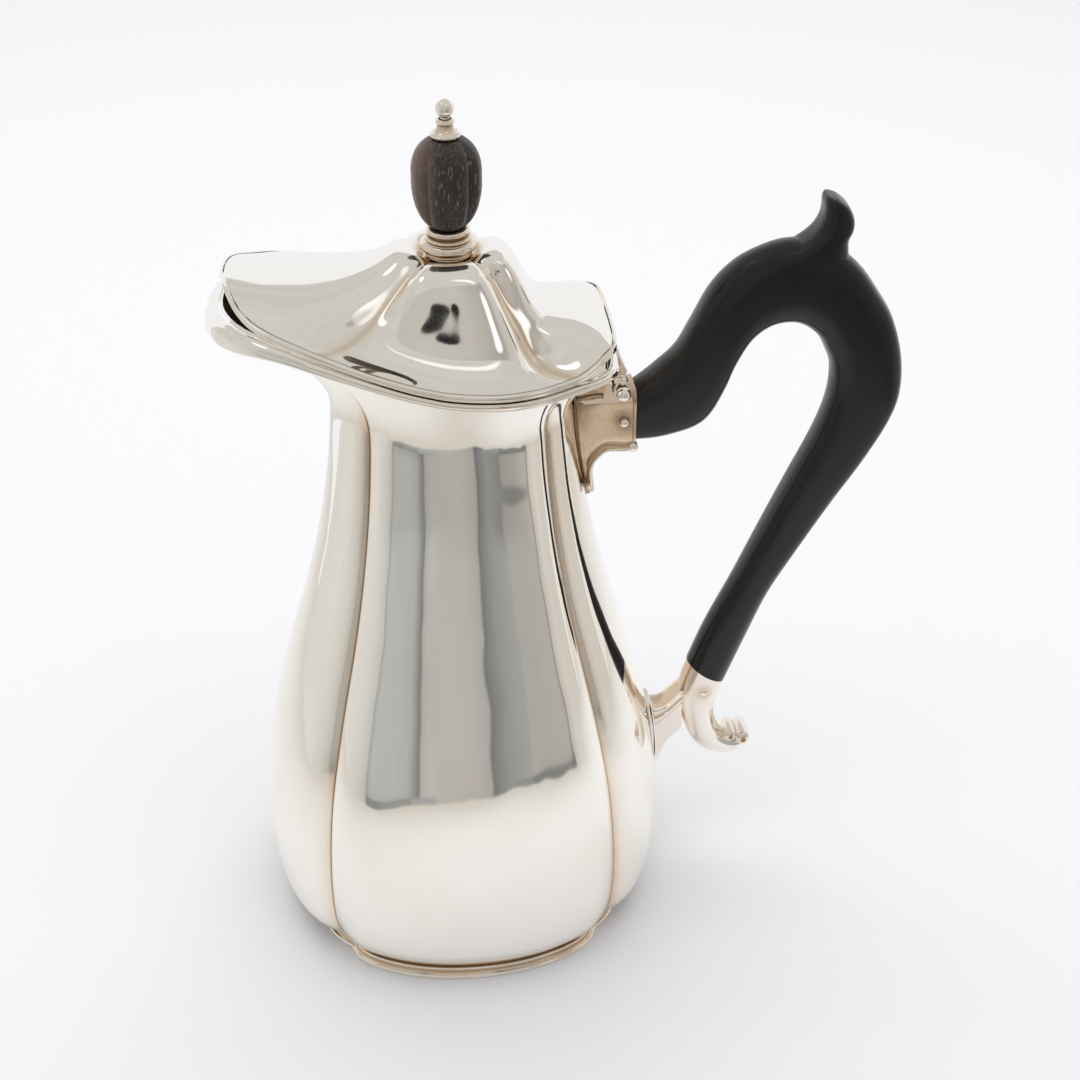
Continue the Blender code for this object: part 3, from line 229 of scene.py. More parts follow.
# %% The wood finishes
EBONY_STOPS = ((0.3, (0.0040, 0.0039, 0.0043)), (0.75, (0.0095, 0.0083, 0.0076)))
WOOD_STOPS = ((0.3, (0.011, 0.0075, 0.007)), (0.55, (0.022, 0.014, 0.012)), (0.75, (0.045, 0.025, 0.018)))
LIT_SIDE_RED = (0.20, 0.124, 0.092, 1.0)
PALE_PORES = (0.15, 0.115, 0.095, 1.0)


def ebony():
    """Black wood with a soft polish, fine grain and faint scratches."""
    made, tree, shader = blank("ebony")
    streak = grain(tree, 60.0, 4.0, stretch=(1.0, 4.0, 1.0))
    fine = grain(tree, 1400.0, 2.0, stretch=(1.0, 6.0, 1.0))
    feed(tree, shader, {"Base Color": ramp(tree, streak, EBONY_STOPS), "Specular IOR Level": 0.42,
                        "Roughness": ranged(tree, grain(tree, 140.0, 5.0), 0.13, 0.27),
                        "Normal": bumped(tree, fine, 0.5, 0.00001)})
    return made


def finial_wood():
    """Brown wood with pale open pores along the grain, and painted light: lighter and redder towards the
    spout.
    """
    made, tree, shader = blank("finial_wood")
    pores = grain(tree, 2300.0, 3.0, stretch=(1.0, 1.0, 0.20))
    band = grain(tree, 160.0, 3.0, stretch=(1.0, 1.0, 0.12))
    wood = ramp(tree, band, WOOD_STOPS)
    pale = ramp(tree, pores, ((0.56, (0.0, 0.0, 0.0)), (0.70, (1.0, 1.0, 1.0))))
    across = node(tree, "SeparateXYZ", {"Vector": node(tree, "TexCoord").outputs["Object"]}).outputs["X"]
    # Painted light: the side towards the spout is mixed with a lighter red-brown, as if lit from the left.
    wood = blended(tree, ranged(tree, across, 0.9, 0.0, AXIS_X - 0.0085, AXIS_X - 0.0020), wood, LIT_SIDE_RED)
    feed(tree, shader, {"Base Color": blended(tree, pale, wood, PALE_PORES),
                        "Roughness": ranged(tree, band, 0.34, 0.50),
                        "Normal": bumped(tree, pores, 0.6, 0.00006)})
    return made


EBONY = ebony()
FINIAL_WOOD = finial_wood()
print("woods:", EBONY.name, FINIAL_WOOD.name)

# %% [markdown]
# ## The table, the light and what the silver sees
#
# Polished metal has hardly a colour of its own: it shows the room. The jug stood on a white table in
# soft light, and the middle of its body mirrors the darker room beyond the table's front edge. The
# table is one big pale plane. For mirrored rays it ends a little way in front of the jug, as the real
# one did. A curved screen of upright panels stands where the room was, and only mirrored rays see it.
# The lamps are the other way round: they light the scene, and the cards stand for them in the silver.

# %% The table and the backdrop
TABLE_COLOUR = (0.895, 0.905, 0.94, 1.0)
TABLE_PAINTED_FALLOFF = (0.645, 0.625, 0.600, 1.0)
BACKDROP = (0.90, 0.915, 0.955, 1.0)
TABLE_SIZE = 8.0
TABLE_MIDDLE = 0.015
TABLE_REACH = (0.265, 0.325)
TABLE_CORNER = 2.4
SKY_COLOUR = (1.0, 0.995, 0.985, 1.0)
SKY_LEVEL = 0.55


def stage_mesh(name, points, faces, material):
    """A piece of the studio, not of the ewer."""
    mesh = bpy.data.meshes.new(name)
    mesh.from_pydata(points, [], faces)
    made = bpy.data.objects.new(name, mesh)
    bpy.context.scene.collection.objects.link(made)
    mesh.materials.append(material)
    return made


def table_finish():
    """A matt pale table that mirrored rays see only as far as its rounded edge, with painted shade darkening
    it towards that edge.
    """
    made, tree, shader = blank("table_white")
    place = node(tree, "NewGeometry").outputs["Position"]
    place = node(tree, "Mapping", {"Vector": place, "Scale": (1 / TABLE_REACH[0], 1 / TABLE_REACH[1], 0),
                                   "Location": (-TABLE_MIDDLE / TABLE_REACH[0], 0, 0)})
    apart = node(tree, "SeparateXYZ", {"Vector": node(tree, "VectorMath", {0: place.outputs[0]},
                                                      operation="ABSOLUTE").outputs[0]})
    reach = maths(tree, "ADD", *(maths(tree, "POWER", apart.outputs[n], TABLE_CORNER) for n in ("X", "Y")))
    ragged = ranged(tree, grain(tree, 16.0, 3.0), 0.78, 1.22)
    mirrored_ray = node(tree, "LightPath").outputs["Is Glossy Ray"]
    gone = maths(tree, "MULTIPLY", maths(tree, "GREATER_THAN", reach, ragged), mirrored_ray)
    # Painted shade: mirrored rays see the table darker towards its edge, for the light falling off towards the
    # front.
    painted_falloff = maths(tree, "MULTIPLY", ranged(tree, reach, 0.0, 1.0, 0.10, 0.85), mirrored_ray)
    feed(tree, shader, {"Roughness": 0.9, "Specular IOR Level": 0.0,
                        "Base Color": blended(tree, painted_falloff, TABLE_COLOUR, TABLE_PAINTED_FALLOFF)})
    clear = node(tree, "BsdfTransparent").outputs[0]
    mix = node(tree, "MixShader", {0: gone, 1: shader.outputs[0], 2: clear})
    feed(tree, tree.nodes["Material Output"], {"Surface": mix.outputs[0]})
    return made


half = TABLE_SIZE / 2
stage_mesh("table", [(-half, -half, 0), (half, -half, 0), (half, half, 0), (-half, half, 0)],
           [(0, 1, 2, 3)], table_finish())

world = bpy.data.worlds.new("backdrop")
bpy.context.scene.world = world
world.use_nodes = True
tree = world.node_tree
path = node(tree, "LightPath")
seen = maths(tree, "ADD", path.outputs["Is Camera Ray"], path.outputs["Is Glossy Ray"])
seen = maths(tree, "ADD", seen, path.outputs["Is Transmission Ray"], use_clamp=True)
soft = tree.nodes["Background"]
feed(tree, soft, {"Color": SKY_COLOUR, "Strength": SKY_LEVEL})
shown = node(tree, "Background", {"Color": BACKDROP, "Strength": 1.0})
mix = node(tree, "MixShader", {0: seen, 1: soft.outputs[0], 2: shown.outputs[0]})
feed(tree, tree.nodes["World Output"], {"Surface": mix.outputs[0]})
scene = bpy.context.scene
scene.view_settings.view_transform = "Standard"
print("mirrored table reaches", TABLE_REACH)

# %% The soft lamps
LID_MIDDLE = Vector((AXIS_X, 0.0, 0.17))
LAMP_COLOUR = (1.0, 0.99, 0.97)


def unit(turn):
    """The cosine and sine of a turn in degrees."""
    return math.cos(math.radians(turn)), math.sin(math.radians(turn))


def facing(turn):
    """The level direction at a turn from the camera's side, in degrees."""
    return unit(turn - 90 - math.degrees(VIEW_TURN))


def aimed(turn, rise, distance, foot=LID_MIDDLE):
    """A place seen from the lid at a turn from the camera's side and a rise, in degrees."""
    (c, s), (level, lift) = facing(turn), unit(rise)
    return foot + distance * Vector((c * level, s * level, lift))


def softbox(name, place, size, radiance):
    """A soft lamp, aimed at the lid, whose face has a given brightness, left out of mirrored rays."""
    lamp = bpy.data.lights.new(name, "AREA")
    lamp.shape = "RECTANGLE"
    lamp.size, lamp.size_y = size
    lamp.energy = radiance * size[0] * size[1] * math.pi
    lamp.color = LAMP_COLOUR
    made = bpy.data.objects.new(name, lamp)
    scene.collection.objects.link(made)
    made.location = place
    made.rotation_euler = (place - LID_MIDDLE).to_track_quat("Z", "Y").to_euler()
    made.visible_glossy = False


softbox("left_softbox", aimed(-84, 58, 1.2), (0.7, 0.7), 0.30)
softbox("right_softbox", aimed(60, 58, 1.2), (0.7, 0.7), 0.45)
softbox("back_softbox", aimed(184, 58, 1.3), (1.5, 0.6), 1.9)
softbox("top_softbox", aimed(0, 86, 2.2), (2.2, 2.2), 1.28)

# %% The panels of the room, for mirrored rays only
ROOM_RADIUS = 1.1
ROOM_LEVELS = (-1.0, -0.36, -0.33, -0.22, -0.14, 0.25, 0.45, 1.32)
HIGH_LEVEL, HIGH_WARMTH = 0.4, 0.75
# turn from the camera's side in degrees; per cent of brightness near the floor, low, in the middle and
# high; tenths of warmth
ROOM = ((-129.6, 30, 30, 30, 55, 5), (-128.6, 72, 72, 71, 62, 5), (-84, 70, 69, 70, 62, 5),
        (-66, 66, 64, 67, 60, 5), (-57, 60, 58, 62, 60, 5), (-49.5, 52, 50, 55, 58, 5),
        (-48, 30, 33, 38, 55, 3), (-45, 42, 44, 49, 55, 1), (-30, 40, 45, 49, 55, 0),
        (-23, 34, 39, 44, 55, 1), (-19.5, 25, 27, 30, 53, 1), (-17, 17, 19, 20, 52, 1),
        (-15.6, 36, 36, 42, 52, 5), (-11, 42, 41, 49, 54, 7), (0, 43, 42, 49, 55, 8), (11, 42, 42, 47, 54, 8),
        (16.2, 38, 37, 42, 52, 5), (17.4, 15, 17, 19, 50, 1), (20, 20, 23, 25, 48, 0), (25, 28, 29, 31, 46, 0),
        (36, 20, 23, 36, 44, 1), (38.5, 30, 33, 40, 42, 6), (48, 36, 36, 41, 40, 8), (60, 42, 42, 43, 40, 8),
        (63.6, 40, 42, 42, 42, 8), (64.8, 20, 22, 24, 42, 4), (66.2, 52, 54, 52, 50, 9),
        (76, 62, 64, 61, 58, 9), (101, 62, 64, 61, 58, 9), (101.8, 30, 30, 30, 50, 6),
        (102.8, 78, 78, 78, 78, 8), (126, 80, 80, 80, 80, 8))
COLD, WARM = (0.95, 1.0, 1.01), (1.045, 0.985, 0.925)
CEILING_HEIGHT = 1.30
CEILING = ((-1.2, -1.35), (1.2, -1.35), (1.2, 1.7), (-1.2, 1.7))
CEILING_TONE = (0.605, 0.55)


def tinted(level, warmth):
    """A brightness as a colour between a cold and a warm grey."""
    return tuple(level * (c + (w - c) * warmth) for c, w in zip(COLD, WARM))


def glow(name):
    """A finish that shows a colour laid on the mesh, with soft clouds in it."""
    made, tree, shader = blank(name)
    tone = node(tree, "Attribute", attribute_name="tone").outputs["Color"]
    cloud = ranged(tree, grain(tree, 2.6, 3.0), 0.86, 1.14)
    shine = node(tree, "Emission", {"Color": tone, "Strength": cloud})
    feed(tree, tree.nodes["Material Output"], {"Surface": shine.outputs[0]})
    return made


def card(name, points, faces, tones):
    """A card that only mirrored rays see, with a colour at each of its points."""
    made = stage_mesh(name, points, faces, CARD_GLOW)
    layer = made.data.attributes.new("tone", "FLOAT_COLOR", "POINT")
    for k, tone in enumerate(tones):
        layer.data[k].color = (*tone, 1.0)
    for kind in ("camera", "diffuse", "shadow", "transmission", "volume_scatter"):
        setattr(made, "visible_" + kind, False)


def curtain(name, columns):
    """A card over upright columns of (point, colour) pairs."""
    rows = len(columns[0])
    faces = [(k, k + rows, k + rows + 1, k + 1)
             for column in range(len(columns) - 1) for k in range(column * rows, (column + 1) * rows - 1)]
    points, tones = zip(*(pair for column in columns for pair in column))
    card(name, points, faces, tones)


CARD_GLOW = glow("card_glow")
panels = []
for turn, *levels, warmth in ROOM:
    c, s = facing(turn)
    steps = zip(ROOM_LEVELS, [level for level in levels for _ in (0, 1)])
    panels.append([((AXIS_X + ROOM_RADIUS * c, ROOM_RADIUS * s, height),
                    tinted(brightness / 100, warmth / 10 if height < HIGH_LEVEL else HIGH_WARMTH))
                   for height, brightness in steps])
curtain("room_panels", panels)
print("upright edges in the screen:", len(panels))
corners = [(x, y, CEILING_HEIGHT) for x, y in CEILING]
card("ceiling_card", corners, [(0, 1, 2, 3)], [tinted(*CEILING_TONE)] * 4)

# %% The shaded side of the table, which darkens both ends of the mirrored room
SKIRT_TOP, SKIRT_FOOT = -0.001, -0.034
SKIRT_GROWTH = 1.14
SKIRT_WARMTH = 0.15
SKIRT_STEPS = 6
# (from and to turn from the camera's side, brightness at the top, at the foot)
SKIRTS = ((-50, -40, 0.24, 0.34), (-40, -26, 0.28, 0.42), (-26, -14, 0.36, 0.50), (16, 30, 0.27, 0.40),
          (30, 60, 0.18, 0.34))


def squared(c, s, power):
    """How far a rounded square reaches in a direction: 2 is round, and higher is squarer."""
    return (abs(c) ** power + abs(s) ** power) ** (-1 / power)


for start, end, top_tone, foot_tone in SKIRTS:
    columns = []
    for k in range(SKIRT_STEPS + 1):
        c, s = facing(start + (end - start) * k / SKIRT_STEPS)
        size = SKIRT_GROWTH * squared(c / TABLE_REACH[0], s / TABLE_REACH[1], TABLE_CORNER)
        columns.append([((TABLE_MIDDLE + size * c, size * s, z), tinted(tone, SKIRT_WARMTH))
                        for z, tone in ((SKIRT_TOP, top_tone), (SKIRT_FOOT, foot_tone))])
    curtain("table_side", columns)
print("stretches of table side:", len(SKIRTS))

# %% What stands at the camera, seen in the lid as two dark spots
LID_SLOPE = Vector((AXIS_X, -0.022, 0.185))
OVAL_SIDES = 24


def oval(name, turn, rise, distance, wide, tall, tilt, middle_tone, edge_tone):
    """An oval card seen from the lid's near slope: one brightness as far as halfway, another at its edge."""
    middle = aimed(turn, rise, distance, LID_SLOPE)
    aim = (middle - LID_SLOPE).to_track_quat("Z", "Y")
    c, s = unit(tilt)
    points, n = [middle], OVAL_SIDES
    for size in (0.5, 1.0):
        for k in range(n):
            x, y = unit(360 * k / n)
            x, y = size * wide * x, size * tall * y
            points.append(middle + aim @ Vector((x * c - y * s, x * s + y * c, 0)))
    faces = [(0, 1 + k, 1 + (k + 1) % n) for k in range(n)]
    faces += [(1 + k, n + 1 + k, n + 1 + (k + 1) % n, 1 + (k + 1) % n) for k in range(n)]
    card(name, points, faces, [(middle_tone,) * 3] * (n + 1) + [(edge_tone,) * 3] * n)


oval("camera_left", 5.0, 32.3, 0.50, 0.040, 0.0098, -33, 0.004, 0.004)
oval("camera_right", 11.9, 30.5, 0.51, 0.020, 0.0128, -34, 0.004, 0.004)

# %% Small bright cards, which draw the streaks along the flutes
oval("left_streak", -82, 64, 0.8, 0.20, 0.085, 0, 1.5, 0.55)
oval("right_streak", 50, 31, 0.8, 0.10, 0.11, 0, 1.3, 0.45)
oval("flute_streak", 32, 54, 0.8, 0.21, 0.060, -27, 1.0, 0.605)

# %% [markdown]
# ## Curves from a few chosen points
#
# The maker's drawing of a raised piece is a handful of measures: a height and a radius, or a turn and
# a reach. The helpers below read smooth values between them. A curve that never overshoots is kept,
# so that a flat stays flat, and a planishing step later rubs out the last kinks, as a hammer would.

# %% Smooth values from short tables


def smooth(table, x):
    """The value at x on a curve through (x, value) points that never overshoots them."""
    if x <= table[0][0]:
        return table[0][1]
    if x >= table[-1][0]:
        return table[-1][1]
    steps = [(b[1] - a[1]) / (b[0] - a[0]) for a, b in zip(table, table[1:])]

    def slope(i):
        if i == 0 or i == len(steps):
            return steps[min(i, len(steps) - 1)]
        if steps[i - 1] * steps[i] <= 0:
            return 0.0
        return 2 * steps[i - 1] * steps[i] / (steps[i - 1] + steps[i])

    i = max(k for k in range(len(steps)) if table[k][0] <= x)
    width = table[i + 1][0] - table[i][0]
    t = (x - table[i][0]) / width
    return (table[i][1] * (1 + 2 * t) * (1 - t) ** 2 + slope(i) * width * t * (1 - t) ** 2
            + table[i + 1][1] * t * t * (3 - 2 * t) + slope(i + 1) * width * t * t * (t - 1))


def eased(table, x, reach):
    """The curve's mean over a short way to both sides of x, shorter near its ends."""
    reach = max(0.0, min(reach, x - table[0][0], table[-1][0] - x))
    weights = (1, 3, 6, 7, 6, 3, 1)
    return sum(w * smooth(table, x + reach * (k - 3) / 3) for k, w in enumerate(weights)) / sum(weights)


def planished(rings, passes):
    """Rings of points with the kinks between them rubbed out. The first and last stay."""
    rings = rings.copy()
    for _ in range(passes):
        rings[1:-1] = (rings[:-2] + 2 * rings[1:-1] + rings[2:]) / 4
    return rings


print("halfway between two steps:", round(smooth(((0, 0), (1, 1), (2, 1)), 0.5), 3))

# %% [markdown]
# ## The ewer's own measures
#
# The jug stands on a thin foot, swells to its widest a sixth of the way up and draws in to a neck.
# The rim isn't a circle: it runs forward into a pouring lip and squares off at the hinge. All places
# are worked out about the jug's own upright axis and moved to it at the end.

# %% Sizes of the jug, in metres
SOLDER_GAP = 0.0003
WALL = 0.0009
GROOVE_DEPTH_SHARE = 0.045
GROOVE_WIDTH_DEG = 12.0
SQUARENESS = 2.2
FOOT_HEIGHT = 0.0038
FOOT_STEP = 0.0024
FOOT_TREAD = 0.0062
BELLY_RADIUS = 0.0551
FOOT_RADIUS = BELLY_RADIUS - 0.0050
FOOT_TUCK = 0.065
NECK_RADIUS = 0.0308
RIM_HEIGHT = 0.1700
NECK_HEIGHT = RIM_HEIGHT - 0.0140
RIM_RISE = 0.0165
RIM_HALF_WIDTH = 0.0310
SPOUT_REACH = 0.0545
REAR_REACH = 0.0390
FLARE_POWER = 2.2
FLARE_END_SHARE = 0.93

BODY_SHARES = ((0.035, 0.885), (0.060, 0.935), (0.10, 0.975), (0.165, 1.0), (0.255, 0.975), (0.37, 0.875),
               (0.45, 0.745), (0.53, 0.605), (0.61, 0.445), (0.70, 0.290), (0.80, 0.155),
               (0.90, 0.055), (1.0, 0.0))
PLAN_SHARES = ((0, 1.0, 0.0), (15, 0.998, 0.315), (27, 0.98, 0.545), (35, 0.89, 0.675), (45, 0.715, 0.80),
               (60, 0.475, 0.935), (75, 0.245, 0.995), (90, 0.0, 1.0), (105, -0.165, 1.0),
               (120, -0.365, 0.975), (135, -0.585, 0.89), (150, -0.795, 0.74),
               (165, -0.945, 0.45), (180, -1.0, 0.0))
RIM_RISE_SHARES = ((0, 0.03), (30, 0.03), (45, 0.02), (60, 0.0), (75, 0.01), (90, 0.06),
                   (105, 0.19), (120, 0.42), (135, 0.68), (150, 0.91), (165, 0.98),
                   (180, 0.90))


def mirrored(table, odd=False):
    """A half-turn table carried on a little past both of its ends."""
    sign = -1 if odd else 1
    before = [(-x, sign * y) for x, y in table if 0 < x <= 45][::-1]
    after = [(360 - x, sign * y) for x, y in table if 135 <= x < 180][::-1]
    return before + list(table) + after


PLAN_X = mirrored([(row[0], row[1]) for row in PLAN_SHARES])
PLAN_Y = mirrored([(row[0], row[2]) for row in PLAN_SHARES], odd=True)
RISE = mirrored(RIM_RISE_SHARES)
PLAN_EASE = 5.0
print("height of the rim %.1f mm" % (RIM_HEIGHT * 1000))

# %% The lobed plan and the rim's curve


def half_turn(turn):
    """The same place on the half turn from 0 at the rear to 180 at the spout."""
    turn = turn % 360
    return 360 - turn if turn > 180 else turn


def from_groove(turn):
    """How far a turn is from the nearest groove, in degrees."""
    off = abs((turn - 45) % 90)
    return min(off, 90 - off)


def lobe_factor(turn):
    """How far the four-lobed plan reaches at a turn, as a factor of the radius."""
    off = math.hypot(from_groove(turn), 0.5) - 0.3
    groove = GROOVE_DEPTH_SHARE * max(0.0, 1 - off / GROOVE_WIDTH_DEG) ** 2
    return squared(*unit(turn), SQUARENESS) - groove


BODY_TABLE = [(FOOT_HEIGHT, FOOT_RADIUS - FOOT_STEP)]
BODY_TABLE += [(h * NECK_HEIGHT, NECK_RADIUS + s * (BELLY_RADIUS - NECK_RADIUS)) for h, s in BODY_SHARES]


def body_radius(z):
    """The lobes' radius at a height up to the neck."""
    return eased(BODY_TABLE, z, 0.008)


def body_point(turn, z, outset=0.0):
    """A point on the body below the neck, or set out from it."""
    r = body_radius(z) * lobe_factor(turn) + outset
    c, s = unit(turn)
    return Vector((r * c, r * s, z))


plan_cache = {}


def plan_point(turn, outset=0.0):
    """The rim in plan, set out by a distance square to it."""
    key = round(turn % 360, 4)
    if key not in plan_cache:
        h = half_turn(turn)
        reach = eased(PLAN_X, h, PLAN_EASE)
        side = -1 if turn % 360 > 180 else 1
        plan_cache[key] = Vector((reach * (REAR_REACH if reach > 0 else SPOUT_REACH),
                                  side * eased(PLAN_Y, h, PLAN_EASE) * RIM_HALF_WIDTH, 0))
    here = plan_cache[key].copy()
    return here + outset * plan_outward(turn) if outset else here


def plan_outward(turn):
    """The level direction square to the rim at a turn."""
    along = (plan_point(turn + 1) - plan_point(turn - 1)).normalized()
    return Vector((along.y, -along.x, 0))


def rim_z(turn):
    """The height of the body's rim."""
    return RIM_HEIGHT + RIM_RISE * eased(RISE, half_turn(turn), PLAN_EASE)


def turns_round(steps):
    """The turns of the columns round a piece, given as steps away from the grooves."""
    lobe = [45 + s for s in steps] + [90] + [135 - s for s in steps[:0:-1]]
    return [t + 90 * n for n in range(4) for t in lobe]


BODY_TURNS = turns_round((0, 0.3, 0.7, 1.2, 1.8, 2.5, 3.4, 4.5, 6, 7.5, 9.5, 12, 15, 18, 21.5, 25, 28.5, 32,
                          35.5, 39, 42))
print("columns round the body:", len(BODY_TURNS))

# %% [markdown]
# ## Skins over rings of points
#
# A raised vessel is easiest to build as rings: one closed line of points at each height, joined by
# faces. The same helper makes closed mouldings, where the section goes round instead of the height.
# It writes the tarnish of each point on the mesh, and it can give the sheet its thickness.

# %% Helpers that make meshes


def new_piece(name, points, faces, tarnish=None):
    """A mesh object about the jug's axis, moved to its place, with its tarnish laid on."""
    points = np.asarray(points, dtype=float).reshape(-1, 3) + np.array((AXIS_X, 0, 0))
    mesh = bpy.data.meshes.new(name)
    mesh.from_pydata([tuple(p) for p in points], [], faces)
    if tarnish is not None:
        layer = mesh.attributes.new("tarnish", "FLOAT", "POINT")
        layer.data.foreach_set("value", np.asarray(tarnish, dtype=np.float32).reshape(-1))
    made = bpy.data.objects.new(name, mesh)
    scene.collection.objects.link(made)
    return made


def face_out(mesh):
    """Turn a closed mesh's faces outwards."""
    bm = bmesh.new()
    bm.from_mesh(mesh)
    bmesh.ops.recalc_face_normals(bm, faces=bm.faces)
    if bm.calc_volume(signed=True) < 0:
        bmesh.ops.reverse_faces(bm, faces=bm.faces)
    bm.to_mesh(mesh)
    bm.free()


def settled(obj, sharp=40):
    """Fix the modifiers into the mesh, smooth its shading and keep its hard edges hard."""
    if obj.modifiers:
        graph = bpy.context.evaluated_depsgraph_get()
        mesh = bpy.data.meshes.new_from_object(obj.evaluated_get(graph))
        obj.modifiers.clear()
        obj.data = mesh
    face_out(obj.data)
    obj.data.shade_smooth()
    obj.data.set_sharp_from_angle(angle=math.radians(sharp))
    return obj


def ring_faces(rows, columns, closed_rows=False):
    """Faces between rings of points, and round from the last ring to the first where asked."""
    last = rows if closed_rows else rows - 1
    return [(k * columns + i, k * columns + (i + 1) % columns,
             (k + 1) % rows * columns + (i + 1) % columns, (k + 1) % rows * columns + i)
            for k in range(last) for i in range(columns)]


def capped(name, rings, tarnish=None):
    """A solid over open rings, closed with a flat face at each end."""
    rings = np.asarray(rings, dtype=float)
    rows, columns = rings.shape[:2]
    faces = ring_faces(rows, columns)
    faces += [tuple(range(columns))[::-1], tuple(range((rows - 1) * columns, rows * columns))]
    return new_piece(name, rings, faces, tarnish)


def sheet_metal(name, rings, tarnish, wall):
    """A vessel skin through rings of points, with a wall on its inner side in its own material, which paints
    the shade inside.
    """
    made = new_piece(name, rings, ring_faces(*rings.shape[:2]), tarnish)
    for _ in ("outer side, which finish sets", "inner side"):
        made.data.materials.append(SHADED_INSIDE_SILVER)
    solidify = made.modifiers.new("wall", "SOLIDIFY")
    solidify.thickness = wall
    solidify.offset = -1
    solidify.material_offset = 1
    solidify.use_even_offset = False
    return settled(made)


def moulding(name, sections, tarnish):
    """A closed ring whose section, a closed line of points, is given at each place round it."""
    sections = np.asarray(sections, dtype=float)
    return settled(new_piece(name, sections, ring_faces(*sections.shape[:2], closed_rows=True), tarnish))


def finish(obj, material, body, node_name):
    """Give a piece its material, its body and the measured node that it stands for."""
    if obj.data.materials:
        obj.data.materials[0] = material
    else:
        obj.data.materials.append(material)
    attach(obj, body)
    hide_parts(node_name)
    print("%-18s %6d faces" % (obj.name, len(obj.data.polygons)))


print("mesh helpers ready")

# %% [markdown]
# ## The raised body
#
# A silversmith raises such a body from one sheet and then chases the four grooves from outside, so
# that the lobes swell between them. The rings follow the measured profile, and above the neck they
# ease from the lobed plan to the rim's own plan. Tarnish gathers in the grooves and fades up to the
# rim.

# %% Raise the body
BODY_ROWS = 92
FLARE_ROWS = 26
LIP_OUT = 0.0017
ROLL = mirrored(((0, 0.0), (105, 0.0), (135, 0.16), (150, 0.42), (160, 0.80), (168, 1.02), (180, 1.0)))


def lip_roll(turn):
    """How much of the lip's roll there is at a turn: 0 along the sides and the rear, 1 at the spout."""
    return eased(ROLL, half_turn(turn), 8)


def lip_outset(turn):
    """How far the rim stands out beyond the lid at the spout."""
    return LIP_OUT * lip_roll(turn)


def body_rings():
    """Rings of points from the foot to the rim."""
    low = FOOT_HEIGHT + SOLDER_GAP
    rings = []
    for k in range(BODY_ROWS):
        z = low + (NECK_HEIGHT - low) * k / BODY_ROWS
        rings.append([body_point(t, z) for t in BODY_TURNS])
    for k in range(FLARE_ROWS + 1):
        share = k / FLARE_ROWS
        spread = min(1.0, share / FLARE_END_SHARE) ** FLARE_POWER
        ring = []
        for t in BODY_TURNS:
            point = body_point(t, NECK_HEIGHT).lerp(plan_point(t, lip_outset(t)), spread)
            point.z = NECK_HEIGHT + share * (rim_z(t) - NECK_HEIGHT)
            ring.append(point)
        rings.append(ring)
    return planished(np.array(rings), 10)


def groove_tarnish(rings):
    """Gold in the grooves: strongest in their bottom, gone at the rim."""
    values = np.zeros(rings.shape[:2])
    for c, t in enumerate(BODY_TURNS):
        off = math.radians(from_groove(t)) * np.hypot(rings[:, c, 0], rings[:, c, 1])
        values[:, c] = 0.62 * np.exp(-(off / 0.00032) ** 2)
        if abs(math.cos(math.radians(t))) > math.sqrt(0.5):
            values[:, c] += 0.34 * np.exp(-(off / 0.0030) ** 2) + 0.10 * np.exp(-(off / 0.007) ** 2)
        else:
            values[:, c] += 0.10 * np.exp(-(off / 0.0012) ** 2)
    height = np.array([np.mean(rings[r, :, 2]) for r in range(len(rings))])
    fade = np.clip((RIM_HEIGHT + 0.002 - height) / 0.012, 0, 1)
    low = 0.10 * np.exp(-((height - FOOT_HEIGHT) / 0.0022) ** 2)
    return values * fade[:, None] + low[:, None]


rings = body_rings()
body = sheet_metal("raised_body", rings, groove_tarnish(rings), WALL)
finish(body, BODY_SILVER, "jug", "body_shell")

# %% Let in the base
BASE_THICKNESS = 0.0010


def base_rings():
    """Rings of a flat disc just inside the body's lower edge."""
    low = FOOT_HEIGHT + SOLDER_GAP
    top = low + BASE_THICKNESS
    edge = [body_point(t, low, -WALL - SOLDER_GAP) for t in BODY_TURNS]
    return [[(p.x * share, p.y * share, z) for p in edge]
            for z, share in ((low, 0.5), (low, 1.0), (top, 1.0), (top, 0.5))]


finish(settled(capped("let_in_base", base_rings())), HIDDEN_SILVER, "jug", "base_disc")

# %% [markdown]
# ## The foot
#
# The foot is a thin stepped moulding that follows the lobes: a flat tread, a small round bead and a
# hollow above it. It could be a curve with a bevel, but a lobed ring has no constant section, so its
# section is written out once as distances and set round the plan.

# %% Mould the foot


def bead(middle, radius, start, end, steps=7):
    """Points along an arc, from one angle to another in degrees, as (outset, height) pairs."""
    return [(middle[0] + radius * c, middle[1] + radius * s)
            for c, s in (unit(start + (end - start) * k / steps) for k in range(steps + 1))]


def held(share):
    """A share kept between 0 and 1."""
    return min(1.0, max(0.0, share))


def foot_section():
    """The foot's section as (radius, height) pairs: a rounded tread, a hollow and a bead."""
    r = FOOT_RADIUS
    section = [(r - FOOT_TREAD, 0.0001), (r - 0.0005, 0.0)]
    section += bead((r - 0.0006, 0.0006), 0.0006, -80, 80)
    section += [(r - 0.00085, 0.00130), (r - 0.00120, 0.00150), (r - 0.00150, 0.00185),
                (r - 0.00155, 0.00215)]
    section += bead((r - 0.00170, 0.00265), 0.00045, -60, 80, 6)
    section += [(r - 0.00205, 0.00325), (r - FOOT_STEP, FOOT_HEIGHT), (r - FOOT_TREAD, FOOT_HEIGHT)]
    return section


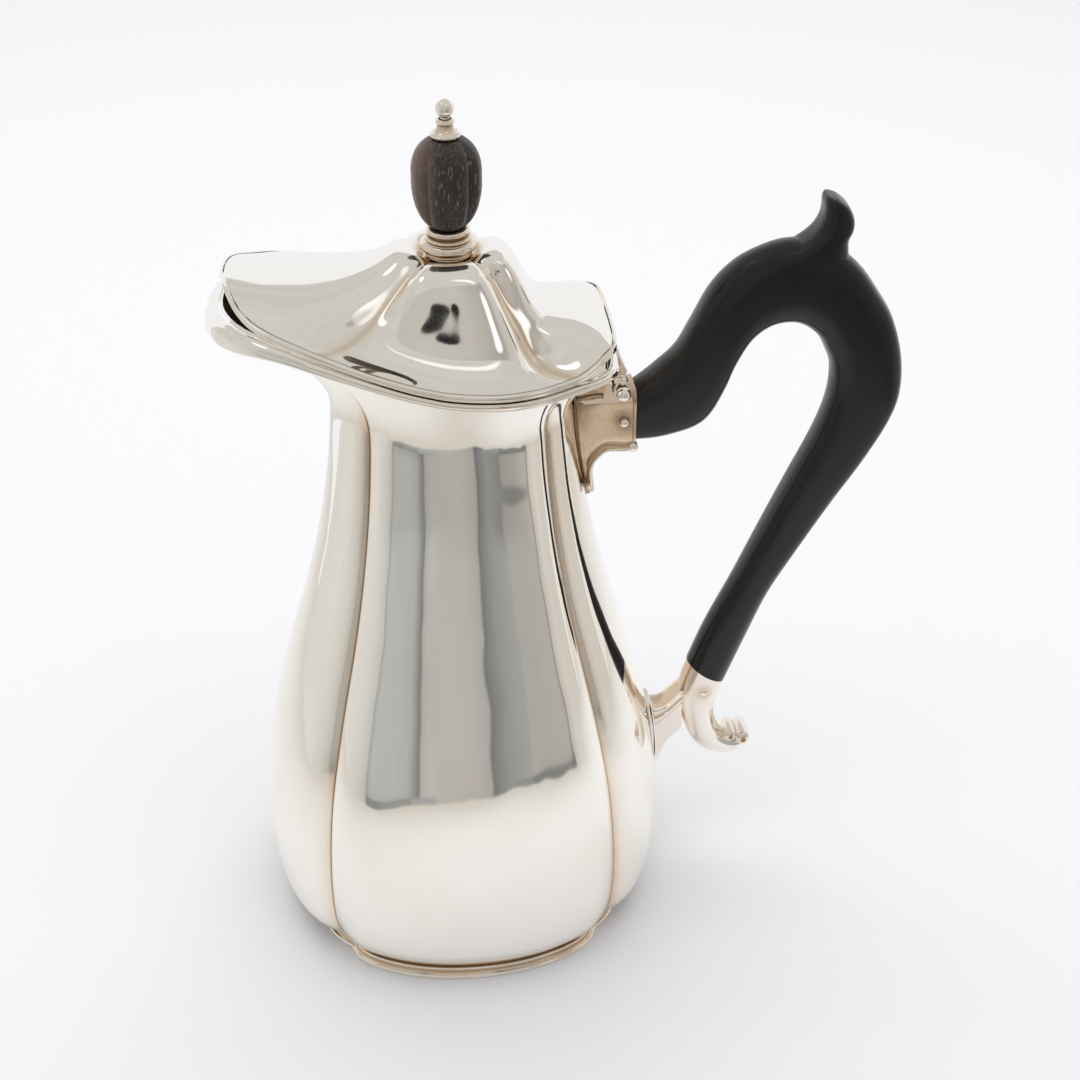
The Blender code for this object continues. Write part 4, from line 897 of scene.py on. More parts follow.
def foot_moulding():
    """The section set round the plan, and tucked in under the lobes at the spout and the handle."""
    section = foot_section()
    rings = []
    for t in BODY_TURNS:
        c, s = unit(t)
        hidden = held((abs(c) - 0.63) / 0.26)
        factor = lobe_factor(t) * (1 - FOOT_TUCK * hidden * hidden * (3 - 2 * hidden))
        rings.append([(r * factor * c, r * factor * s, z) for r, z in section])
    # Tarnish 0.72 in the hollow and on the top ledge, 0.30 elsewhere: partly patina, partly a painted dark
    # reflection of the shade in front of the foot.
    tarnish = [[0.72 if 0.0013 < z < 0.0024 or z > 0.0030 else 0.30 for r, z in section] for _ in BODY_TURNS]
    return moulding("foot_moulding", rings, tarnish)


finish(foot_moulding(), BODY_SILVER, "jug", "foot_ring")

# %% [markdown]
# ## The band round the mouth
#
# A drawn wire with two small mouldings is soldered round the rim to stiffen it. At the spout the
# band rolls outwards into the pouring lip. One section is drawn for the plain band and widened by
# the roll as it nears the spout.

# %% Draw the mouth band
RIM_BAND_DEPTH = 0.0022
RIM_BAND_THICKNESS = 0.0010
LIP_ROLL_REACH = 0.0026
LIP_ROLL_DROP = 0.0032
BEADS_FADE = 1.4
RIM_TURNS = [2.0 * k for k in range(180)]
# (share of the depth, share of the way out) down the outside of the plain band: two beads
BAND_SHAPE = ((0.0, 0.0), (0.0, 0.45), (0.06, 0.78), (0.16, 0.98), (0.28, 0.98), (0.37, 0.80), (0.42, 0.62),
              (0.48, 0.66), (0.58, 0.92), (0.70, 1.0), (0.82, 0.90), (0.92, 0.66), (1.0, 0.30), (1.0, 0.0))


def lip_path(turn):
    """The lip's outer line at a turn, as (outset, drop) pairs, from the rim outwards and down."""
    roll = lip_roll(turn)
    straight = max(0.0, 1 - roll * BEADS_FADE)
    reach = RIM_BAND_THICKNESS * 0.25 + LIP_ROLL_REACH * roll
    drop = LIP_ROLL_DROP * roll
    line = []
    for depth, out in BAND_SHAPE:
        bend = math.sin(depth * math.pi / 2)
        full = math.sqrt(max(0.0, 1 - (2 * depth - 1) ** 2))
        out = out * straight + full * (1 - straight)
        line.append((RIM_BAND_THICKNESS * 1.25 * out + reach * bend,
                     RIM_BAND_DEPTH * depth + drop * depth ** 1.5))
    line.append((max(0.0, reach * 0.62), RIM_BAND_DEPTH * 0.96 + drop * 0.93))
    line.append((reach * 0.42, RIM_BAND_DEPTH * 0.5 + drop * 0.45))
    return line


def mouth_band():
    """The band round the rim, with its tarnish between the two beads and along its lower edge."""
    rings, tarnish = [], []
    for t in RIM_TURNS:
        out = plan_outward(t)
        start = plan_point(t, SOLDER_GAP + lip_outset(t)) + Vector((0, 0, rim_z(t)))
        rings.append([start + out * o + Vector((0, 0, -d)) for o, d in lip_path(t)])
        straight = max(0.0, 1 - lip_roll(t) * BEADS_FADE)
        tarnish.append([(0.42 if 0.40 <= depth <= 0.50 else 0.30 if depth > 0.95 else 0.04) * straight
                        for depth, _ in BAND_SHAPE] + [0.45, 0.45])
    return moulding("mouth_band", rings, tarnish)


finish(mouth_band(), BODY_SILVER, "jug", "body_rim")

# %% [markdown]
# ## The lid
#
# The lid is a dome with the same four lobes, drawn forward into a hood over the lip and squared off
# at the hinge. Between the lobes run deep flutes with rounded shoulders. The surface is read from
# one table for each lobe and each flute: the height on the way from the finial's seat to the edge.

# %% Sizes of the lid
LID_WALL = 0.0008
LID_EDGE = 0.0018
LID_REAR_EDGE = 0.0044
HOOD_LIFT = 0.0066
HOOD_TRIM = 0.0010
DOME_RISE = 0.0275
FINIAL_SEAT_RADIUS = 0.0062
ROD_RADIUS = 0.0012
FLUTE_SHARE = 0.22
HOOD = mirrored(((0, 0.0), (145, 0.0), (155, 0.10), (165, 0.45), (172, 0.80), (180, 1.0)))
REAR_EDGE = mirrored(((0, 1.0), (22, 1.0), (32, 0.85), (38, 0.4), (45, 0.0), (180, 0.0)))
SIDE_LOBE = ((0.0, 0.916), (0.14, 0.982), (0.275, 0.956), (0.39, 0.836), (0.49, 0.673),
             (0.59, 0.502), (0.70, 0.327), (0.84, 0.189), (1.0, 0.105))
REAR_LOBE = ((0.0, 0.916), (0.104, 0.993), (0.208, 0.982), (0.297, 0.873),
             (0.371, 0.709), (0.43, 0.545), (0.504, 0.447), (0.638, 0.40),
             (0.786, 0.378), (0.905, 0.335), (1.0, 0.255))
SPOUT_LOBE = ((0.0, 0.916), (0.071, 1.015), (0.153, 1.005), (0.214, 0.945),
              (0.296, 0.87), (0.418, 0.815), (0.58, 0.793), (0.745, 0.80),
              (0.888, 0.829), (1.0, 0.855))
REAR_GROOVE = ((0.0, 0.90), (0.08, 0.924), (0.173, 0.88), (0.30, 0.684), (0.497, 0.371),
               (0.657, 0.145), (0.77, 0.085), (0.88, 0.075), (1.0, 0.087))
SPOUT_GROOVE = ((0.0, 0.90), (0.068, 0.938), (0.177, 0.895), (0.286, 0.80),
                (0.422, 0.676), (0.586, 0.545), (0.722, 0.48), (0.886, 0.458),
                (1.0, 0.473))
LID_ROWS = 60
LID_TURNS = turns_round((0, 0.6, 1.3, 2.1, 3, 4, 5.2, 6.6, 8.2, 10, 12, 14.2, 16.6, 19.2, 22, 25, 28, 31,
                         34.5, 38, 41.5))
print("columns round the lid:", len(LID_TURNS))

# %% Raise the lid


def hood_share(turn, reach=3):
    """How much of the hood there is at a turn: none along the sides, all at the spout."""
    return eased(HOOD, half_turn(turn), reach)


def lid_low_z(turn):
    """The height of the lid's lower edge: on the rim, and lifted off it at the spout."""
    return rim_z(turn) + SOLDER_GAP + (HOOD_LIFT + HOOD_TRIM) * hood_share(turn)


def lid_edge_z(turn):
    """The height of the top of the lid's upright edge."""
    return (lid_low_z(turn) + LID_EDGE - HOOD_TRIM * hood_share(turn)
            + LID_REAR_EDGE * eased(REAR_EDGE, half_turn(turn), 3))


def lid_heights(way):
    """The shares of the rise at one way out, for the two grooves and the three kinds of lobe."""
    return {name: eased(table, way, 0.06) for name, table in
            (("rear", REAR_LOBE), ("side", SIDE_LOBE), ("spout", SPOUT_LOBE),
             ("rear_groove", REAR_GROOVE), ("spout_groove", SPOUT_GROOVE))}


def lid_share(turn, heights):
    """The share of the rise at a turn, between its groove and its lobe."""
    h = half_turn(turn)
    groove = heights["rear_groove" if h < 90 else "spout_groove"]
    lobe_height = heights["side" if abs(h - 90) <= 45 else "rear" if h < 90 else "spout"]
    off = min(1.0, abs(h - (45 if h < 90 else 135)) / 45)
    wide = off * off * (1 + FLUTE_SHARE ** 2) / (off * off + FLUTE_SHARE ** 2)
    valley = (1 - math.exp(-(off / FLUTE_SHARE) ** 2)) / (1 - math.exp(-(1 / FLUTE_SHARE) ** 2))
    return groove + (lobe_height - groove) * (0.45 * wide + 0.55 * valley)


def lid_rings():
    """Rings from the rod's hole out over the dome to the edge and down it."""
    seat_z = RIM_HEIGHT + DOME_RISE * SIDE_LOBE[0][1]
    hole = ROD_RADIUS + SOLDER_GAP
    outward = [unit(t) for t in LID_TURNS]
    last = lid_heights(1.0)
    dome = []
    for k in range(LID_ROWS + 1):
        way = k / LID_ROWS
        heights = lid_heights(way)
        ring = []
        for t, (c, s) in zip(LID_TURNS, outward):
            point = Vector((FINIAL_SEAT_RADIUS * c, FINIAL_SEAT_RADIUS * s, 0)).lerp(plan_point(t), way)
            end = RIM_HEIGHT + DOME_RISE * lid_share(t, last)
            point.z = RIM_HEIGHT + DOME_RISE * lid_share(t, heights) + (lid_edge_z(t) - end) * way ** 4
            ring.append(point)
        dome.append(ring)
    dome[0] = [Vector((p.x, p.y, seat_z)) for p in dome[0]]
    dome = planished(np.array(dome), 5)
    centre = [[(hole * c, hole * s, seat_z) for c, s in outward],
              [(FINIAL_SEAT_RADIUS * 0.7 * c, FINIAL_SEAT_RADIUS * 0.7 * s, seat_z) for c, s in outward]]
    skirt = [[plan_point(t) + Vector((0, 0, lid_edge_z(t) + (lid_low_z(t) - lid_edge_z(t)) * share))
              for t in LID_TURNS] for share in (0.5, 1.0)]
    return np.concatenate((np.array(centre), dome, np.array(skirt)))[::-1]


def flute_tarnish_and_collar_shadow(rings):
    """Gold tarnish along the bottoms of the flutes, deepest towards the edge, and a painted shadow in a ring
    round the collar's foot.
    """
    values = np.zeros(rings.shape[:2])
    radius = np.hypot(rings[:, :, 0], rings[:, :, 1])
    for c, t in enumerate(LID_TURNS):
        off = math.radians(from_groove(t)) * radius[:, c]
        values[:, c] = 0.44 * np.exp(-(off / 0.0017) ** 2)
    fade = np.clip((radius - 0.009) / 0.006, 0, 1)
    # A painted shadow: a dark ring round the foot of the finial's collar, where the collar's rim shades the
    # lid.
    collar_shadow = 0.7 * np.exp(-((radius - 0.0070) / 0.0016) ** 2)
    return values * fade + collar_shadow


rings = lid_rings()
lid = sheet_metal("domed_lid", rings, flute_tarnish_and_collar_shadow(rings), LID_WALL)
finish(lid, LID_SILVER, "lid", "lid_shell")

# %% [markdown]
# ## The lid's edge band
#
# A second moulded wire runs round the lid and frames the mouth of the hood. With the band on the
# body it makes the row of fine parallel lines that shows where the lid closes.

# %% Draw the lid's band
LID_BEAD = 0.0012
# (outset share, drop share) of the bead, from its top inner corner outwards and down
LID_BAND_SHAPE = ((0.0, -0.20), (0.35, -0.22), (0.62, -0.08), (0.80, 0.15), (0.84, 0.40), (0.70, 0.62),
                  (0.62, 0.70), (0.78, 0.84), (0.84, 1.02), (0.72, 1.20), (0.40, 1.30), (0.0, 1.30))


def lid_band():
    """The bead round the lid's edge, which turns into a plain round wire along the hood."""
    rings, tarnish = [], []
    for t in RIM_TURNS:
        out = plan_outward(t)
        hood = hood_share(t, 6)
        size = LID_BEAD * (1 - 0.30 * hood)
        top = plan_point(t, SOLDER_GAP) + Vector((0, 0, lid_edge_z(t) - LID_BEAD * 0.15))
        ring = []
        for o, d in LID_BAND_SHAPE:
            full = 0.95 * math.sin(math.pi * held((d + 0.2) / 1.5))
            ring.append(top + out * size * (o + (full - o) * hood) + Vector((0, 0, -size * d)))
        rings.append(ring)
        tarnish.append([(0.34 if 0.55 < d < 0.75 or d > 1.25 or d < -0.19 else 0.03) * (1 - hood)
                        for _, d in LID_BAND_SHAPE])
    return moulding("lid_band", rings, tarnish)


finish(lid_band(), LID_SILVER, "lid", "lid_rim")

# %% [markdown]
# ## The ebony handle
#
# The handle is sawn from a plank and then rounded with a file. It rises out of the upper socket,
# loops over a small thumbpiece and comes down to a round tenon. Pairs of points give the outside
# and the inside of the loop, and a rounded-square section is set between each pair.

# %% Sizes of the handle
HINGE_X = REAR_REACH + 0.0034
HINGE_Z = RIM_HEIGHT - 0.0108
SOCKET_TOP = HINGE_Z - 0.0046
MOUTH_X = HINGE_X + 0.0042
MOUTH_BOTTOM = SOCKET_TOP - 0.0134
HANDLE_SPAN = 0.0701
LOWER_MOUTH = Vector((BELLY_RADIUS + 0.0143, 0.0642))
HANDLE_CROWN = RIM_HEIGHT + 0.0234
HANDLE_HALF_WIDTH = 0.0060
THUMB_RISE = 0.0122
# (outside across, outside up, inside across, inside up) as shares of the span and of the height
HANDLE_PAIRS = ((0.0, 0.717, 0.0, 0.598), (0.040, 0.735, 0.066, 0.598), (0.084, 0.757, 0.134, 0.603),
                (0.150, 0.794, 0.227, 0.618), (0.203, 0.850, 0.285, 0.645), (0.268, 0.920, 0.335, 0.700),
                (0.348, 0.968, 0.367, 0.750), (0.442, 0.996, 0.418, 0.803), (0.538, 1.010, 0.486, 0.833),
                (0.640, 1.006, 0.560, 0.840), (0.735, 0.984, 0.618, 0.830), (0.810, 0.948, 0.670, 0.805),
                (0.874, 0.900, 0.700, 0.775), (0.942, 0.838, 0.722, 0.745), (0.986, 0.761, 0.730, 0.708),
                (0.997, 0.680, 0.724, 0.664), (0.966, 0.612, 0.702, 0.615), (0.885, 0.524, 0.665, 0.560),
                (0.772, 0.422, 0.590, 0.467), (0.655, 0.308, 0.500, 0.353), (0.560, 0.209, 0.415, 0.245),
                (0.482, 0.097, 0.312, 0.122), (0.402, -0.023, 0.248, 0.027))


def through(points, steps):
    """A smooth curve through an open line of points, with a number of steps from each to the next."""
    ends = [Vector(p) for p in [points[0]] + list(points) + [points[-1]]]
    out = []
    for p0, p1, p2, p3 in zip(ends, ends[1:], ends[2:], ends[3:]):
        for t in (n / steps for n in range(steps)):
            out.append(0.5 * (2 * p1 + (p2 - p0) * t + (2 * p0 - 5 * p1 + 4 * p2 - p3) * t * t
                              + (3 * p1 - p0 - 3 * p2 + p3) * t ** 3))
    return out + [ends[-1]]


def handle_place(across, rise):
    """A point of the handle's outline in x and z from its shares."""
    return Vector((MOUTH_X + across * HANDLE_SPAN, LOWER_MOUTH.y + rise * (HANDLE_CROWN - LOWER_MOUTH.y)))


outside = through([handle_place(a, b) for a, b, _, _ in HANDLE_PAIRS], 6)
inside = through([handle_place(c, d) for _, _, c, d in HANDLE_PAIRS], 6)
print("stations along the handle:", len(outside))

# %% Shape the handle
SECTION_SIDES = 56


def rounded(angle, power):
    """The place on a unit circle squared off by a power: 2 is round, 4 is nearly square."""
    c, s = math.cos(angle), math.sin(angle)
    return (math.copysign(abs(c) ** (2 / power), c), math.copysign(abs(s) ** (2 / power), s))


def station(outer, inner, half_width, power, crown=0.0):
    """One section between an outside and an inside point, its two edge faces crowned by a share."""
    middle, reach = (outer + inner) / 2, (outer - inner) / 2
    ring = []
    for k in range(SECTION_SIDES):
        c, s = rounded(2 * math.pi * k / SECTION_SIDES, power)
        c *= 1 - crown * s * s
        ring.append((middle.x + reach.x * c, half_width * s, middle.y + reach.y * c))
    return ring


def handle_rings():
    """Sections along the loop, nearly square at its upper end and round at its lower end."""
    rings = []
    for k, (outer, inner) in enumerate(zip(outside, inside)):
        share = k / (len(outside) - 1)
        round_end = held((share - 0.62) / 0.3)
        width = HANDLE_HALF_WIDTH - 0.0004 * held((share - 0.8) / 0.2)
        rings.append(station(outer, inner, width, 5.0 - 2.9 * round_end, 0.20 * (1 - round_end)))
    return rings


# (share of the span, share of the thumbpiece's rise above the crown) round its outline
THUMB_FRONT = ((0.49, -0.16), (0.570, 0.06), (0.626, 0.34), (0.650, 0.66), (0.652, 0.98), (0.662, 1.08))
THUMB_BACK = ((0.700, 1.03), (0.738, 0.86), (0.762, 0.60), (0.764, 0.36), (0.750, 0.12), (0.756, -0.25))


def thumb_place(across, rise):
    """A point of the thumbpiece in x and z."""
    return Vector((MOUTH_X + across * HANDLE_SPAN, HANDLE_CROWN + rise * THUMB_RISE))


def thumb_rings():
    """Sections up the thumbpiece, which narrows to a softened top."""
    front = through([thumb_place(*p) for p in THUMB_FRONT], 5)
    rear = through([thumb_place(*p) for p in THUMB_BACK[::-1]], 5)
    rings = []
    for k in range(len(front)):
        share = k / (len(front) - 1)
        width = 0.0057 - 0.0019 * share ** 2
        if share > 0.9:
            width *= 1 - 0.35 * ((share - 0.9) / 0.1) ** 2
        rings.append(station(rear[k], front[k], width, 3.0))
    return rings


def joined(target, others):
    """Put several meshes into one object."""
    bm = bmesh.new()
    for obj in [target] + others:
        bm.from_mesh(obj.data)
    bm.to_mesh(target.data)
    bm.free()
    for obj in others:
        bpy.data.objects.remove(obj, do_unlink=True)
    return target


handle = settled(capped("ebony_handle", handle_rings()))
thumb = settled(capped("thumbpiece", thumb_rings()))
finish(joined(handle, [thumb]), EBONY, "jug", "handle")

# %% [markdown]
# ## The finial
#
# A turned collar, a carved wooden barrel, a small cap and a ball are threaded on one rod. The metal
# parts are turned on a lathe, so a profile spun round the axis makes them. The barrel is turned and
# then carved with four grooves, so its rings get the same lobes as the jug.

# %% Turn and carve the finial
COLLAR_RADIUS = 0.0070
COLLAR_HEIGHT = 0.0070
BARREL_RADIUS = 0.0085
BARREL_HEIGHT = 0.0222
CAP_HEIGHT = 0.0044
BALL_RADIUS = 0.0023
BALL_FOOT = BALL_RADIUS * 0.96
BARREL_ROWS = 44
BARREL_COLUMNS = 144
NOTCH_DEPTH = 0.17
CREASE_DEPTH = 0.95
TIP = 0.00002
seat_top = RIM_HEIGHT + DOME_RISE * SIDE_LOBE[0][1] + SOLDER_GAP
collar_top = seat_top + COLLAR_HEIGHT
barrel_low = collar_top + SOLDER_GAP
barrel_top = barrel_low + BARREL_HEIGHT
cap_low = barrel_top + SOLDER_GAP
cap_top = cap_low + CAP_HEIGHT
ball_z = cap_top + SOLDER_GAP + BALL_FOOT


def spun(name, profile, tarnish, around=56, across=None):
    """A closed profile of (radius, height) pairs spun round the axis, or round a level line across it."""
    rings = []
    for k in range(around):
        c, s = math.cos(2 * math.pi * k / around), math.sin(2 * math.pi * k / around)
        rings.append([(across[0] + r * c, h, across[1] - r * s) if across else (r * c, r * s, h)
                      for r, h in profile])
    return moulding(name, rings, [list(tarnish)] * around)


def crease(profile, base):
    """More tarnish where a profile steps inwards, less where it stands out."""
    radii = [r for r, _ in profile]
    dips = [(after + before) / 2 - r
            for before, r, after in zip(radii[-1:] + radii, radii, radii[1:] + radii[:1])]
    return [min(0.9, base + CREASE_DEPTH * max(0.0, dip / 0.0003)) for dip in dips]


def turned(name, profile, base, body_name, node_name, around=56, across=None):
    """A piece spun in worked silver, with a base tarnish and more of it in the creases."""
    piece = spun(name, profile, crease(profile, base), around, across)
    finish(piece, SMALL_SILVER, body_name, node_name)


bore = ROD_RADIUS + SOLDER_GAP
profile = [(bore, collar_top), (0.0046, collar_top)]
profile += bead((0.0046, collar_top - 0.0008), 0.0008, 80, -65, 9)
profile += [(0.0048, collar_top - 0.0018), (0.0048, collar_top - 0.0021)]
profile += bead((0.0054, collar_top - 0.0026), 0.00035, 70, -60, 5) + [(0.0053, collar_top - 0.0030)]
profile += bead((COLLAR_RADIUS - 0.0013, seat_top + 0.0025), 0.0013, 85, -75, 14)
profile += [(0.0059, seat_top + 0.00105)] + bead((0.0056, seat_top + 0.0007), 0.0003, 70, -70, 4)
profile += [(0.0054, seat_top + 0.0003), (0.0056, seat_top), (bore, seat_top)]
turned("finial_collar_turned", profile, 0.22, "lid", "finial_collar")

BARREL_SHARES = ((0.0, 0.50), (0.05, 0.64), (0.14, 0.80), (0.30, 0.94), (0.47, 1.0), (0.66, 1.0),
                 (0.80, 0.93), (0.90, 0.79), (0.965, 0.62), (1.0, 0.46))
rings = []
for k in range(BARREL_ROWS + 1):
    share = k / BARREL_ROWS
    reach = BARREL_RADIUS * eased(BARREL_SHARES, share, 0.05)
    ring = []
    for n in range(BARREL_COLUMNS):
        turn = 360 / BARREL_COLUMNS * n
        off = math.hypot(from_groove(turn), 0.8)
        notch = NOTCH_DEPTH * max(0.0, 1 - off / 20) ** 1.8 * (0.35 + 0.65 * math.sin(math.pi * share))
        c, s = unit(turn)
        ring.append((reach * (1 - notch) * c, reach * (1 - notch) * s, barrel_low + share * BARREL_HEIGHT))
    rings.append(ring)
finish(settled(capped("finial_barrel_carved", rings)), FINIAL_WOOD, "lid", "finial_barrel")

profile = [(bore, cap_top), (0.0018, cap_top)] + bead((0.0019, cap_top - 0.0006), 0.0005, 90, -70, 7)
profile += [(0.0018, cap_top - 0.0013), (0.0019, cap_top - 0.0017), (0.0022, cap_low + 0.0021),
            (0.0026, cap_low + 0.0016), (0.0031, cap_low + 0.00115)]
profile += bead((0.0033, cap_low + 0.0006), 0.00045, 70, -60, 5) + [(0.0034, cap_low), (bore, cap_low)]
turned("finial_cap_turned", profile, 0.22, "lid", "finial_cap")

profile = [(TIP, ball_z + BALL_RADIUS)] + bead((0, ball_z), BALL_RADIUS, 85, -62, 18)
profile += [(0.0012, ball_z - BALL_FOOT), (TIP, ball_z - BALL_FOOT)]
turned("finial_ball_turned", profile, 0.05, "lid", "finial_ball", 40)

# %% [markdown]
# ## The hinge
#
# Three short tubes turn on one pin. The middle tube belongs to the lid and hangs from a leaf that fans
# out to the lid's rear edge. Each tube is turned with a raised ring at both of its ends, and the pin
# ends in two balls. The lathe profile is the same as for the finial, only spun round a level line.

# %% Turn the tubes and the pin
HINGE_HALF_LENGTH = 0.0083
KNUCKLE_RADIUS = 0.0022
PIN_RADIUS = 0.0010
PIN_BALL_RADIUS = 0.0019
LID_KNUCKLE_HALF = 0.0032
hinge_line = (HINGE_X, HINGE_Z)


def tube_profile(start, end):
    """A tube's section with a raised ring at both ends and one in the middle."""
    r, hole, middle = KNUCKLE_RADIUS, PIN_RADIUS + SOLDER_GAP, (start + end) / 2
    shape = [(hole, start), (r * 0.90, start)] + bead((r - 0.00035, start + 0.0004), 0.00035, -70, 70, 5)
    shape += [(r * 0.84, start + 0.0009)] + bead((r * 0.86, middle), 0.0002, -80, 80, 4)
    shape += [(r * 0.84, end - 0.0009)] + bead((r - 0.00035, end - 0.0004), 0.00035, -70, 70, 5)
    return shape + [(r * 0.90, end), (hole, end)]


outer_start = LID_KNUCKLE_HALF + SOLDER_GAP
for name, node_name, body_name, start, end in (
        ("lid_tube", "lid_knuckle", "lid", -LID_KNUCKLE_HALF, LID_KNUCKLE_HALF),
        ("near_tube", "near_knuckle", "jug", -HINGE_HALF_LENGTH, -outer_start),
        ("far_tube", "far_knuckle", "jug", outer_start, HINGE_HALF_LENGTH)):
    turned(name, tube_profile(start, end), 0.16, body_name, node_name, 40, hinge_line)

reach = HINGE_HALF_LENGTH + SOLDER_GAP
ball_y = reach + PIN_BALL_RADIUS * 0.95
profile = [(TIP, -ball_y - PIN_BALL_RADIUS)] + bead((0, -ball_y), PIN_BALL_RADIUS, -85, 55, 16)
profile += [(PIN_RADIUS, -reach + 0.0001), (PIN_RADIUS, ball_y), (TIP, ball_y)]
pin = spun("pin_with_ball", profile, [0.05] * len(profile), 36, hinge_line)
finish(pin, SMALL_SILVER, "jug", "hinge_pin")
hole = PIN_RADIUS + SOLDER_GAP
profile = [(hole, reach + 0.0001)] + bead((0, ball_y), PIN_BALL_RADIUS, -42, 85, 16)
profile += [(TIP, ball_y + PIN_BALL_RADIUS), (TIP, ball_y + 0.0004), (hole, ball_y + 0.0004)]
far_ball = spun("far_ball", profile, [0.05] * len(profile), 36, hinge_line)
finish(far_ball, SMALL_SILVER, "jug", "hinge_pin_cap")

# %% Bend the lid's leaf


def heading(line, k):
    """The way that a line of points runs at one of them."""
    return (line[min(k + 1, len(line) - 1)] - line[max(k - 1, 0)]).normalized()


def banded(name, path, half_widths, thickness, power, tarnish):
    """A strap along a path in x and z, with a half width at each of its points."""
    rings = []
    for k, (place, half_width) in enumerate(zip(path, half_widths)):
        along = heading(path, k)
        side = Vector((along.y, -along.x)) * thickness / 2
        rings.append(station(place + side, place - side, half_width, power))
    return settled(capped(name, rings, [tarnish] * len(rings) * SECTION_SIDES))


leaf_top = lid_edge_z(0) - LID_BEAD * 1.45
leaf_line = through([(REAR_REACH + 0.0004, leaf_top), (REAR_REACH + 0.0010, leaf_top - 0.0014),
                     (REAR_REACH + 0.0017, leaf_top - 0.0044), (HINGE_X - 0.0004, HINGE_Z + 0.0072),
                     (HINGE_X + 0.0008, HINGE_Z + 0.0040), (HINGE_X + 0.0016, HINGE_Z + 0.0021)], 6)
shares = [k / (len(leaf_line) - 1) for k in range(len(leaf_line))]
widths = [0.0030 + 0.0056 * (1 - s) ** 1.6 for s in shares]
finish(banded("fanned_leaf", leaf_line, widths, 0.0011, 3.0, 0.25), SMALL_SILVER, "lid", "lid_leaf")

# %% [markdown]
# ## The upper socket
#
# The handle's upper end sits in a silver box on a plate that hugs the neck. Its sides draw in from the
# plate and open again to the mouth, and its lower edge is an arch with a wire soldered along it. Brown
# tarnish has settled round the pin, where a cloth doesn't reach.

# %% Fit the plates to the body
SOCKET_TAIL = 0.127
PLATE_THICKNESS = 0.0008
PLATE_ROWS = 40
SMALL_PIN_RADIUS = 0.00125
PLATE_WIDTHS = ((0, 0.04), (0.12, 0.30), (0.30, 0.55), (0.55, 0.80), (0.80, 1.0), (1, 1.0))
LOWER_PLATE = (0.0285, 0.0552, 5.0)


def plate_half_turn(z, low, high, half_turn_deg):
    """Half of a plate's turn round the body, in degrees, at a height."""
    return half_turn_deg * eased(PLATE_WIDTHS, held((z - low) / (high - low)), 0.05)


def fitted_plate(name, low, high, half_turn_deg, tarnish=0.25):
    """A thin plate with a softened edge that lies on the body's handle side."""
    rings = []
    for r in range(PLATE_ROWS + 1):
        z = low + (high - low) * r / PLATE_ROWS
        half = plate_half_turn(z, low, high, half_turn_deg)
        ring = []
        for n in range(25):
            across = n / 12 - 1
            crown = (SOLDER_GAP + PLATE_THICKNESS) * (1 - 0.92 * abs(across) ** 5)
            ring.append(body_point(half * across, z, crown))
        ring += [body_point(half * (1 - n / 6) * 0.98, z, 0.00005) for n in range(13)]
        rings.append(ring)
    return settled(capped(name, rings, [tarnish] * len(rings) * len(ring)))


UPPER_PLATE = (SOCKET_TAIL - 0.0026, SOCKET_TOP, 17)
finish(fitted_plate("upper_back_plate", *UPPER_PLATE), SOCKET_SILVER, "jug", "upper_plate")
finish(fitted_plate("lower_back_plate", *LOWER_PLATE, tarnish=0.10), SMALL_SILVER, "jug", "lower_plate")

# %% Form the upper socket
STRAP = 0.0016
SOCKET_RAIL = SOCKET_TOP + 0.0022
ARCH_TAIL, ARCH_MOUTH = SOCKET_TAIL + STRAP, MOUTH_BOTTOM + STRAP / 2
# (share of the way from the plate to the mouth, share of the way up from the arch's tail to its mouth)
ARCH = ((0, 0.0), (0.04, 0.0), (0.07, 0.45), (0.22, 0.76), (0.50, 0.95), (0.80, 0.93), (1, 1.0))
SOCKET_SIDES = 64
SOCKET_WAYS = (0, 0.02, 0.04, 0.05, 0.06, 0.075, 0.10, 0.13, 0.17, 0.22, 0.29, 0.37, 0.46, 0.56, 0.67, 0.78,
               0.87, 0.925, 0.93, 0.95, 0.99, 1.0)
SOCKET_WIDTHS = ((0, 0.0062), (0.16, 0.0060), (0.34, 0.0058), (0.60, 0.0059), (0.90, 0.0063),
                 (0.93, 0.0064), (0.95, 0.0068), (0.99, 0.0068), (1, 0.0065))
PIN_X = MOUTH_X - 0.0032
PIN_Z = (MOUTH_BOTTOM + 0.0030 + SOCKET_TOP - 0.0014) / 2


def socket_point(way, z):
    """The place in x of a share of the way from the plate to the mouth, at a height."""
    start = body_radius(min(z, NECK_HEIGHT)) + SOLDER_GAP + PLATE_THICKNESS * 0.6
    return start + (MOUTH_X - start) * way


def arch_z(way):
    """The height of the socket's arched lower edge at a share of the way."""
    return ARCH_TAIL + (ARCH_MOUTH - ARCH_TAIL) * smooth(ARCH, way)


